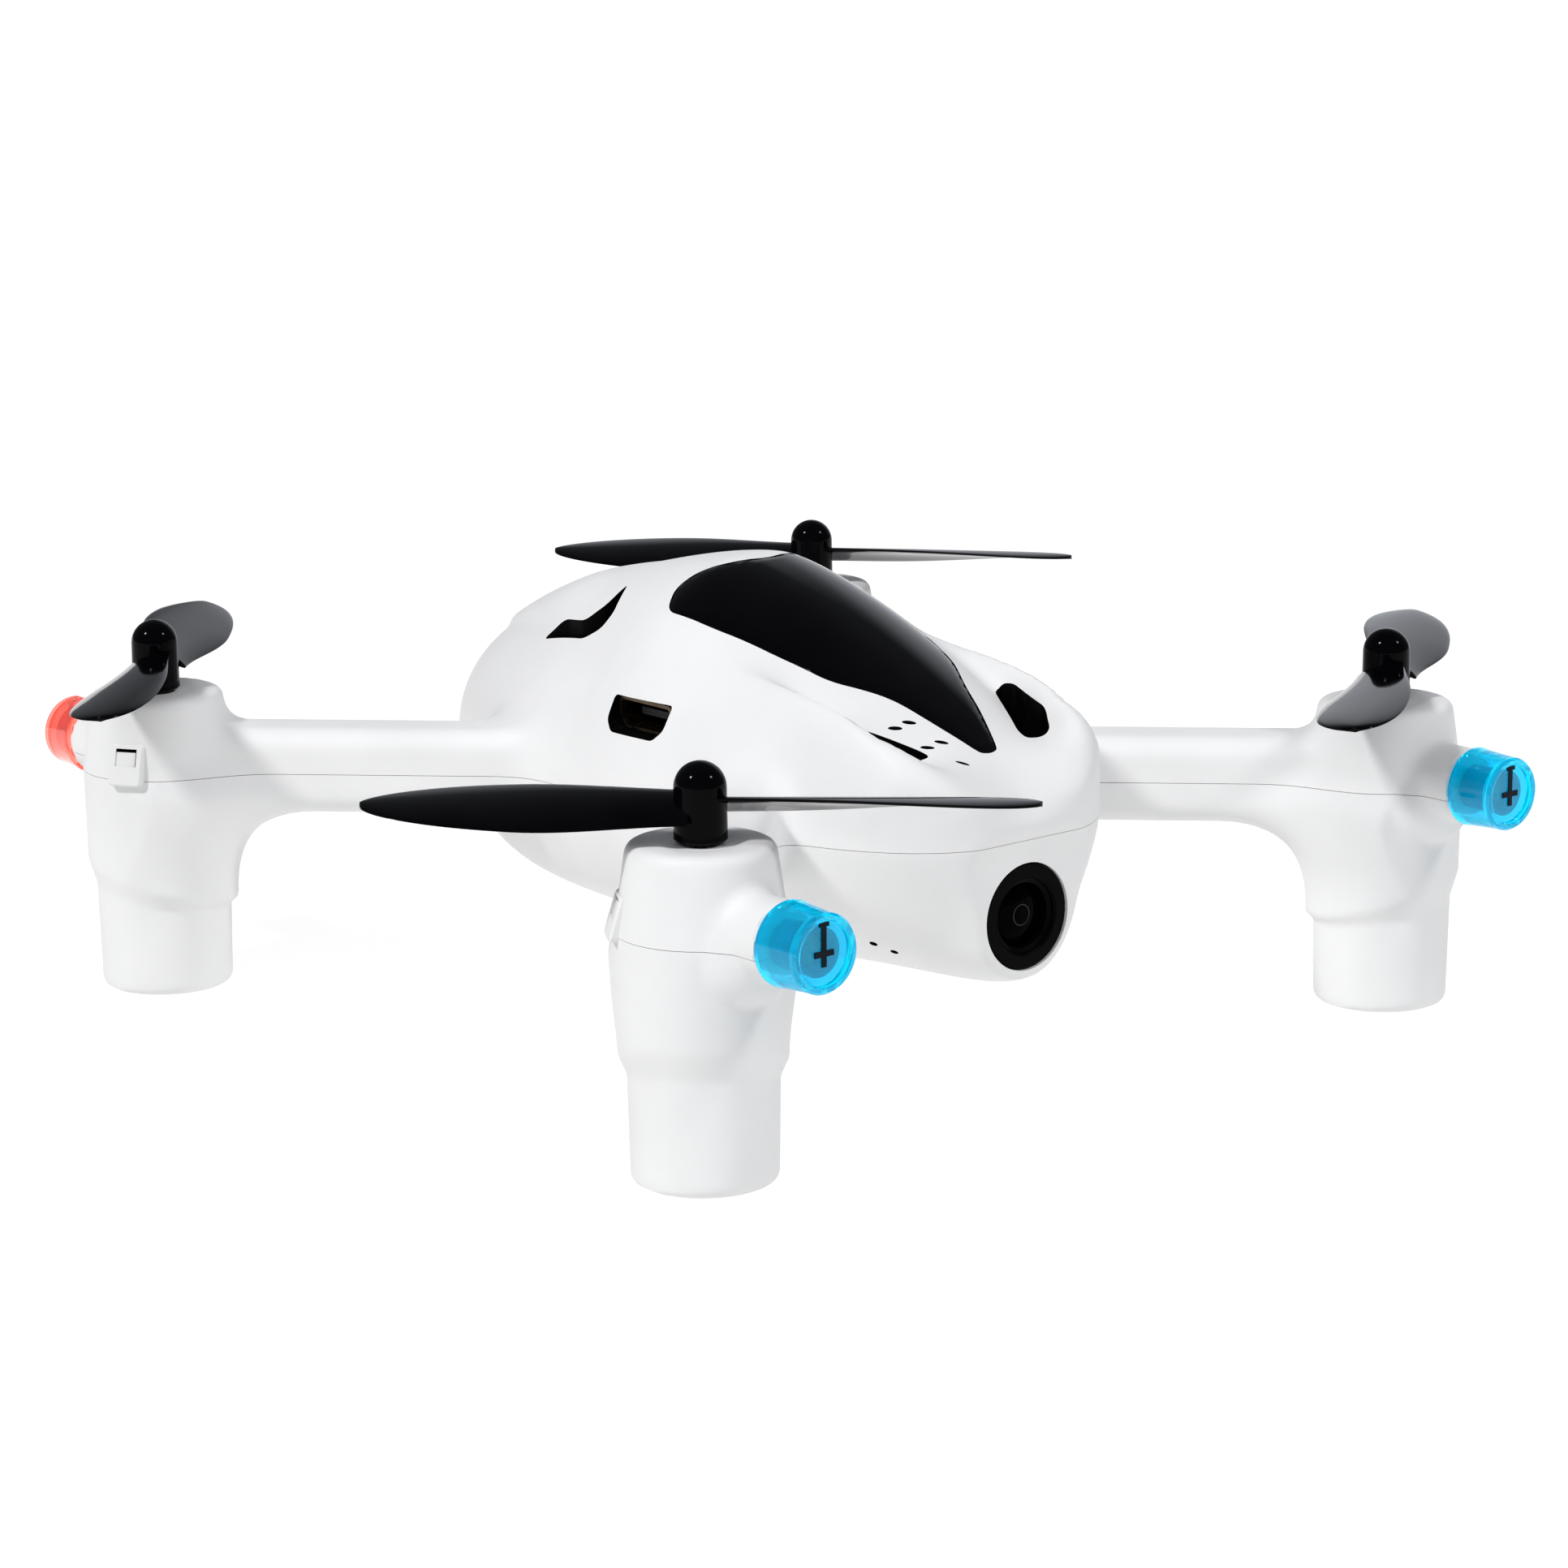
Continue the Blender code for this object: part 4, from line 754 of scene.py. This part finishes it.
def nose_frame():
    """Frame whose +Z points out of the nose along the camera's axis."""
    return Matrix.Translation((0.0, 0.0, LENS_Z)) @ Matrix.Rotation(math.pi / 2, 4, "X")


# Shells


def mirrored(half):
    """A half outline from the front to the back of the middle plane, with its mirror image."""
    inner = [p for p in half if p[0] > 0.01]
    start = [half[0]] if half[0][0] <= 0.01 else []
    end = [half[-1]] if half[-1][0] <= 0.01 else []
    return start + inner + end + [(-x, y) for x, y in reversed(inner)]


def window_outline(grow=0.0):
    half = [
        (0.0, -0.9), (3.8, 0.3), (6.2, 2.4), (8.2, 2.9), (10.4 + grow, 1.4),
        (9.9 + grow, -4.9), (8.7 + grow, -12.3), (7.3 + grow, -18.3), (4.3 + grow, -23.4),
        (3.0 + grow, -26.9), (1.3 + grow, -30.6), (0.9 + grow, -31.2 - grow), (0.0, -31.4 - grow),
    ]
    return rounded(mirrored(half), 1.6)


def intake_outline(side):
    points = [
        (9.5, -21.8), (10.6, -21.6), (10.9, -22.8), (10.5, -27.6), (9.2, -29.6), (5.8, -30.0), (6.0, -28.7),
    ]
    return rounded([(side * x, y) for x, y in points], HOLE_ROUND)


def vent_outline(side):
    points = [
        (11.9, 18.6), (12.6, 11.4), (11.9, 9.5), (10.6, 9.3),
        (7.2, 11.2), (9.6, 11.5), (11.0, 13.1), (10.6, 16.6),
    ]
    return rounded([(side * x, y) for x, y in points], HOLE_ROUND)


def drain_places():
    """Small holes low on the right side of the belly."""
    return [(-9.9, -26.8, 11.5), (-8.4, -28.0, 10.8)]


def sound_hole_places():
    """Slit sound holes beside the window, on the right side only."""
    return [(-6.2, -25.7), (-4.8, -26.0), (-5.2, -28.9), (-3.7, -29.1), (-3.9, -32.1)]


def usb_outline(grow):
    """The socket's opening, with its two lower corners cut off."""
    half, tall = USB_WIDTH / 2 + grow, USB_HEIGHT / 2 + grow
    right = [(half - USB_CORNER, -tall), (half, -tall + USB_CORNER), (half, tall)]
    left = [(-x, y) for x, y in reversed(right)]
    return rounded(left + right, USB_ROUND)


def usb_frame():
    """Frame at the side wall whose +Z points out to the right, +X forward and +Y up."""
    turn = Matrix(((0, 0, -1), (-1, 0, 0), (0, 1, 0))).to_4x4()
    return Matrix.Translation((USB_WALL_X, USB_Y, USB_Z)) @ turn


def pod_sides():
    return [(side_x, side_y) for side_x, side_y, _, _ in PODS.values()]


def block(name, half_wide, front, low, high, material):
    """A block across the middle plane, from its front to well behind the tail."""
    return prism(name, box_outline((-half_wide, front), (half_wide, FAR)), low, high, None, material)


def upper_shell(whole, finishes):
    white, dark = finishes["white_plastic"], finishes["painted_shade_inside"]
    shell = twin_of(whole, "upper_shell_skin")
    # The near-black cutters paint shade on the walls they leave: window seat, socket slot, intakes, vents and
    # sound holes.
    cutters = [
        block("below", FAR, -FAR, -FAR, SEAM + SEAM_GAP / 2, white),
        plate("window_seat", window_outline(WINDOW_GAP), lambda x, y: canopy(x, y) + 2,
              lambda x, y: canopy(x, y) - WINDOW_SEAT, dark),
        prism("usb_slot", usb_outline(0.0), -USB_DEPTH, 6.0, usb_frame(), dark),
    ]
    for side in (-1, 1):
        cutters.append(prism("intake", intake_outline(side), SEAM + 1.5, FAR, None, dark))
        cutters.append(plate("vent", vent_outline(side), lambda x, y: canopy(x, y) + 3,
                             lambda x, y: canopy(x, y) - VENT_DEPTH, dark))
    for x, y in sound_hole_places():
        place = Matrix.Translation((x, y, float(canopy(x, y))))
        turn = Matrix.Rotation(math.radians(SLIT_TURN), 4, "Z")
        slit = place @ turn @ Matrix.Diagonal((1.0, SLIT_SQUASH, 1.0, 1.0))
        profile = [(SLIT_HALF_LENGTH, -SLIT_DEPTH), (SLIT_HALF_LENGTH, 1.0)]
        cutters.append(turned("sound_hole", profile, slit, dark, 20))
    for side_x, side_y in pod_sides():
        profile = [(HUB_HOLE_RADIUS, POD_TOP - HUB_HOLE_DEPTH), (HUB_HOLE_RADIUS, POD_TOP + 2)]
        cutters.append(turned("hub_hole", profile, pod_frame(side_x, side_y), white, 32))
    cut(shell, cutters)
    cut(shell, [snap_tab(*sides, white) for sides in pod_sides()], "UNION")
    cut(shell, [slot for sides in pod_sides() for slot in tab_slots(*sides, white, dark)])
    return keep(shell, "airframe", "white_plastic", "upper_shell")


def tab_face_frame(side_x, side_y):
    """Frame of a snap tab: -X is up, and +Z points out of its leaning face."""
    lean = Matrix(((1, 0, 0, 0), (0, 1, 0, 0), (TAB_LEAN, 0, 1, TAB_LEAN * TAB_LOW), (0, 0, 0, 1)))
    return tab_frame(side_x, side_y) @ Matrix.Rotation(math.pi / 2, 4, "Y") @ lean


def snap_tab(side_x, side_y, white):
    """Tab that laps over the lower shell."""
    frame = tab_face_frame(side_x, side_y)
    outline = rounded(box_outline((-TAB_HIGH, -TAB_WIDTH / 2), (-TAB_LOW, TAB_WIDTH / 2)), 0.5)
    middle = (TAB_LOW + TAB_HIGH) / 2
    rings = []
    for z, share in ((POD_RADIUS - 1.4, 1.0), (TAB_FACE - 0.25, 1.0), (TAB_FACE, 0.9)):
        rings.append([frame @ Vector(((x + middle) * share - middle, y * share, z)) for x, y in outline])
    return loft("snap_tab", rings, white)


def tab_slots(side_x, side_y, white, dark):
    """Cutters for a tab's catch window: the sunk catch, and the gaps over it and to its right, whose walls
    take the painted shade.
    """
    half, middle, tall = TAB_SLOT_WIDTH / 2, -TAB_SLOT_Z, TAB_SLOT_HEIGHT / 2
    top, bottom = middle - tall, middle + tall
    slots = [
        ((top, -half), (bottom, half), CATCH_DEPTH, white),
        ((top, -half), (top + TOP_SLOT, half), SLOT_DEPTH, dark),
        ((top + 0.1, half - SIDE_SLOT), (bottom, half), SLOT_DEPTH, dark),
    ]
    frame = tab_face_frame(side_x, side_y)
    return [
        prism("slot", box_outline(low, high), TAB_FACE - deep, TAB_FACE + 1, frame, colour)
        for low, high, deep, colour in slots
    ]


def bore(name, radius, start, material, sides=64, flare=0.0):
    """A cutter along the camera's axis, from a place in the nose out to the front."""
    return turned(name, [(radius, start), (radius + flare, FAR)], nose_frame(), material, sides)


def lower_shell(whole, finishes):
    white, dark = finishes["white_plastic"], finishes["painted_shade_inside"]
    shell = twin_of(whole, "lower_shell_skin")
    seat = -LENS_FACE - BEZEL_DEPTH - 0.1
    # The near-black cutters paint shade on the walls they leave: the eye's bores, the bay and the drains.
    cutters = [
        block("above", FAR, -FAR, SEAM - SEAM_GAP / 2, FAR, white),
        bore("eye", BEZEL_RADIUS + 0.08, seat, dark),
        bore("eye_mouth", BEZEL_RADIUS + 0.1, seat + 1.3, white, 64, 0.04),
        bore("eye_bore", BEZEL_OPENING + 1.0, seat - 6, dark, 48),
        block("tail_end", HALF_WIDTH, COVER_FRONT, -FAR, COVER_TOP, white),
        block("bay", BAY_HALF_WIDTH, BAY_FRONT, BAY_LOW, BAY_HIGH, dark),
    ]
    for x, y, z in drain_places():
        outward = Vector((x, 0.0, z - SEAM)).to_track_quat("Z", "Y").to_matrix().to_4x4()
        profile = [(DRAIN_RADIUS, -DRAIN_DEPTH), (DRAIN_RADIUS, 1.5)]
        cutters.append(turned("drain", profile, Matrix.Translation((x, y, z)) @ outward, dark, 16))
    cut(shell, cutters)
    return keep(shell, "airframe", "white_plastic", "lower_shell")


def battery_cover(whole, finishes):
    cover = twin_of(whole, "battery_cover_skin")
    white = finishes["white_plastic"]
    box = block("box", HALF_WIDTH, COVER_FRONT + COVER_GAP, 0.0, COVER_TOP - COVER_GAP, white)
    cut(cover, [box], "INTERSECT")
    return keep(cover, "battery", "white_plastic", "battery_cover")


def canopy_window(finishes):
    window = plate("canopy_window_pane", window_outline(), lambda x, y: canopy(x, y) + WINDOW_PROUD,
                   lambda x, y: canopy(x, y) - WINDOW_DEPTH, finishes["window_black"],
                   WINDOW_CELL, WINDOW_EDGE)
    return keep(window, "airframe", "window_black", "canopy_window")


# Pods


def blade_chord(share):
    """Width of a blade at a share of the propeller's radius."""
    if share < BLADE_WIDEST:
        chord = BLADE_ROOT_CHORD + (BLADE_CHORD - BLADE_ROOT_CHORD) * float(ease(share / BLADE_WIDEST))
    else:
        chord = BLADE_CHORD * float(dome((share - BLADE_WIDEST) / (1 - BLADE_WIDEST), *BLADE_TIP_CURVE))
    return max(chord, BLADE_TIP_CHORD)


def blade_rings(sense):
    """Sections of one blade along +X, closer together toward the tip.

    Each is an oval with blunt edges, a little thinner on one side and arched by the camber.
    """
    rings = []
    for i in range(BLADE_STATIONS):
        share = BLADE_START + BLADE_SPAN * math.sin(math.pi / 2 * i / (BLADE_STATIONS - 1))
        chord = blade_chord(share)
        thick = BLADE_THICKNESS + (BLADE_TIP_THICKNESS - BLADE_THICKNESS) * share
        pitch = math.radians(BLADE_ROOT_PITCH + (BLADE_TIP_PITCH - BLADE_ROOT_PITCH) * share)
        offset = BLADE_OFFSET * (chord if share < BLADE_WIDEST else BLADE_CHORD)
        ring = []
        for k in range(BLADE_POINTS):
            angle = 2 * math.pi * k / BLADE_POINTS
            c = math.cos(angle) / 2
            t = math.copysign(abs(math.sin(angle)) ** 0.8, math.sin(angle)) / 2
            along = c * chord - offset
            up = t * thick * (1 - 0.5 * (c + 0.1) ** 2) + BLADE_CAMBER * chord * (1 - 4 * c * c)
            y = along * math.cos(pitch) - up * math.sin(pitch)
            z = along * math.sin(pitch) + up * math.cos(pitch)
            ring.append(Vector((share * PROP_RADIUS, y * sense, PROP_BLADE_Z + z)))
        rings.append(ring)
    return rings


def propeller(pod, side_x, side_y, angle, sense, finishes):
    black = finishes["propeller_black"]
    frame = pod_frame(side_x, side_y)
    neck = PROP_HUB_TOP - PROP_HUB_RADIUS
    profile = [
        (PROP_BORE, neck), (PROP_BORE, PROP_HUB_BASE), (PROP_HUB_RADIUS - 0.1, PROP_HUB_BASE),
        (PROP_HUB_RADIUS + 0.06, PROP_HUB_BASE + 0.2), (PROP_HUB_RADIUS + 0.04, PROP_HUB_BASE + 0.8),
    ]
    for step in range(16):
        turn = math.pi / 2 * step / 15 * 0.985
        profile.append((PROP_HUB_RADIUS * math.cos(turn), neck + PROP_HUB_RADIUS * math.sin(turn)))
    hub = turned(f"propeller_{pod}_moulding", profile, frame, finishes["hub_black"], 48)
    blades = []
    for half in (0.0, 180.0):
        turn = frame @ Matrix.Rotation(math.radians(angle + half), 4, "Z")
        rings = [[turn @ p for p in ring] for ring in blade_rings(sense)]
        blades.append(loft("blade", rings, black, False, 60.0))
    cut(hub, blades, "UNION")
    return keep(hub, f"propeller_{pod}", "propeller_black", f"propeller_{pod}")


def light(pod, side_x, side_y, finishes):
    """A cap with its inner tube, and the lead frame on its face."""
    slot, tint = ("led_blue", "tube_blue") if side_y < 0 else ("led_red", "tube_red")
    frame = light_frame(side_x, side_y)
    base, end = BOSS_END + 0.15, BOSS_END + 0.3 + CAP_LENGTH
    inner, lip = CAP_RADIUS - CAP_WALL, CAP_END_RADIUS - CAP_WALL
    face, back = end - CAP_RECESS, end - CAP_RECESS - CAP_WALL
    profile = [
        (inner, base), (CAP_RADIUS - 0.1, base), (CAP_RADIUS + 0.04, base + 0.15),
        (CAP_RADIUS + 0.04, base + 0.5), (CAP_RADIUS - 0.06, base + 0.8),
        (CAP_END_RADIUS + 0.02, end - 0.3), (CAP_END_RADIUS - 0.2, end), (lip + 0.1, end),
        (lip, end - 0.1), (lip, face), (0.02, face), (0.02, back), (inner - 0.2, back),
    ]
    cap = turned(f"led_cap_{pod}_clear", profile, frame, finishes[slot], 64, True)
    keep(cap, "airframe", slot, f"led_cap_{pod}")

    start, stop = base + 0.3, back - 0.1
    profile = [(TUBE_BORE, start), (TUBE_RADIUS, start), (TUBE_RADIUS, stop), (TUBE_BORE, stop)]
    tube = turned(f"led_tube_{pod}", profile, frame, finishes[tint], 48, True)
    keep(tube, "airframe", slot)

    rim = lip - LEAD_GAP
    bars = [
        ((-LEAD_HALF_WIDTH, -LEAD_DROP), (LEAD_HALF_WIDTH, rim)),
        ((-LEAD_SPAN, -LEAD_HALF_WIDTH), (LEAD_SPAN, LEAD_HALF_WIDTH)),
        ((-LEAD_HEAD, rim - 0.35), (LEAD_HEAD, rim)),
    ]
    # Each bar is a little thicker than the last, so that no two faces coincide.
    low, high, steel = face + 0.02, face + 0.02 + LEAD_THICKNESS, finishes["lead_frame"]
    cross = [
        prism("bar", box_outline(*corners), low, high + 0.02 * i, frame, steel)
        for i, corners in enumerate(bars)
    ]
    piece = cut(cross[0], cross[1:], "UNION")
    piece.name = f"led_lead_frame_{pod}"
    keep(piece, "airframe", "chip_black")


def camera_eye(finishes):
    """Bezel, front glass and iris ring."""
    frame = nose_frame()
    face = -LENS_FACE
    foot = face - BEZEL_DEPTH
    profile = [
        (BEZEL_RADIUS, foot), (BEZEL_RADIUS, face - 0.15), (BEZEL_RADIUS - 0.15, face),
        (LENS_RADIUS + 0.25, face), (LENS_RADIUS + 0.05, face - 0.2), (LENS_RADIUS, face - 0.4),
        (BEZEL_OPENING, face - 0.6), (BEZEL_OPENING, foot),
    ]
    bezel = turned("lens_bezel_ring", profile, frame, finishes["lens_black"], 72, True)
    keep(bezel, "airframe", "lens_black", "lens_bezel")

    rim, back = BEZEL_OPENING - 0.15, face - 1.6
    profile = [(rim, back - 0.5)]
    for step in range(12):
        turn = math.pi / 2 * step / 12
        profile.append((rim * math.cos(turn), back + LENS_CROWN * math.sin(turn)))
    glass = turned("lens_front_glass", profile, frame, finishes["lens_glass"], 64)
    keep(glass, "airframe", "lens_glass", "lens_glass")

    low, high = back + 0.5, back + LENS_CROWN
    profile = [(IRIS_BORE, low), (IRIS_BORE, high), (IRIS_RADIUS, high), (IRIS_RADIUS, low)]
    ring = turned("lens_iris_ring", profile, frame, finishes["screw_steel"], 48, True)
    keep(ring, "airframe", "screw_steel")


def usb_socket(finishes):
    steel = finishes["socket_steel"]
    frame = usb_frame()
    shell = prism("usb_socket_shell", usb_outline(-0.12), -USB_DEPTH + 0.2, -0.4, frame, steel)
    cut(shell, [prism("inside", usb_outline(-0.42), -USB_DEPTH + 0.6, 3.0, frame, steel)])
    tongue_outline = box_outline((-2.0, -0.15), (2.0, 0.5))
    tongue = prism("tongue", tongue_outline, -USB_DEPTH + 0.4, -1.6, frame, finishes["chip_black"])
    cut(shell, [tongue], "UNION")
    keep(shell, "airframe", "socket_steel", "usb_socket")


# Stage


def studio_floor():
    # Opal acrylic of a light table: white, with a little light of its own.
    opal = finish("acrylic_opal_white", "#707070", "#6C6C6C", (0.6, 0.7), 1.5, 0.0, 60.0,
                  Emission_Color=(1.0, 1.0, 1.0, 1.0), Emission_Strength=FLOOR_LIGHT)
    angles = np.linspace(0, 2 * math.pi, 64, False)
    points = [(FLOOR_RADIUS * math.cos(a), FLOOR_RADIUS * math.sin(a), FLOOR_Z) for a in angles]
    mesh_piece("studio_floor", points, [tuple(range(len(points)))], opal)


def backdrop():
    world = bpy.data.worlds.new("studio")
    world.use_nodes = True
    tree = world.node_tree
    way = add(tree, "ShaderNodeTexCoord").outputs["Generated"]
    nearness = add(tree, "ShaderNodeVectorMath", {"operation": "DOT_PRODUCT"})
    nearness.inputs[1].default_value = Vector(BACKDROP_WAY).normalized()
    tree.links.new(way, nearness.inputs[0])
    ramp = add(tree, "ShaderNodeValToRGB", {}, Fac=nearness.outputs["Value"])
    for element, (position, level) in zip(ramp.color_ramp.elements, BACKDROP_RAMP):
        element.position = position
        element.color = [level * part for part in linear(BACKDROP_TINT)[:3]] + [1.0]
    tree.links.new(ramp.outputs["Color"], tree.nodes["Background"].inputs["Color"])
    bpy.context.scene.world = world
    bpy.context.scene.view_settings.view_transform = "Standard"


def lamps():
    for name, (toward, strength, softness) in LAMPS.items():
        sun = bpy.data.lights.new(name, "SUN")
        sun.energy = strength
        sun.angle = math.radians(softness)
        lamp = bpy.data.objects.new(name, sun)
        lamp.rotation_mode = "QUATERNION"
        lamp.rotation_quaternion = Vector(toward).to_track_quat("Z", "Y")
        # The wide fill only lifts the shade: gloss shows the two small lamps.
        lamp.visible_glossy = softness < 30.0
        bpy.context.scene.collection.objects.link(lamp)


def photo_camera():
    data = bpy.data.cameras.new("photo_camera")
    data.lens = CAMERA_LENS
    data.sensor_width = CAMERA_SENSOR
    data.clip_start, data.clip_end = 0.01, 20.0
    camera = bpy.data.objects.new("photo_camera", data)
    back, right = Vector(CAMERA_BACK).normalized(), Vector(CAMERA_RIGHT).normalized()
    turn = Matrix((right, back.cross(right), back)).transposed().to_4x4()
    camera.matrix_world = Matrix.Translation(Vector(CAMERA_PLACE) * MM) @ turn
    bpy.context.scene.collection.objects.link(camera)
    bpy.context.scene.camera = camera


def main():
    for old in list(bpy.data.objects):
        bpy.data.objects.remove(old)
    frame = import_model()
    finishes = make_finishes()
    slots = {part["node"]: part["material_slot"] for part in frame["record"]["subparts"]}
    for node, solid in frame["nodes"].items():
        solid.data.materials.clear()
        solid.data.materials.append(finishes[slots[node]])

    edge = PITCH + BOSS_END + 6.0
    whole = skin("whole_skin", body_distance, (-edge, -edge, -2.0), (edge, edge, CREST + 3.0), SKIN_STEP)
    whole.data.materials.append(finishes["white_plastic"])
    upper_shell(whole, finishes)
    lower_shell(whole, finishes)
    battery_cover(whole, finishes)
    bpy.data.objects.remove(whole)
    canopy_window(finishes)
    for pod, (side_x, side_y, angle, sense) in PODS.items():
        propeller(pod, side_x, side_y, angle, sense, finishes)
        light(pod, side_x, side_y, finishes)
    camera_eye(finishes)
    usb_socket(finishes)
    studio_floor()
    backdrop()
    lamps()
    photo_camera()


main()
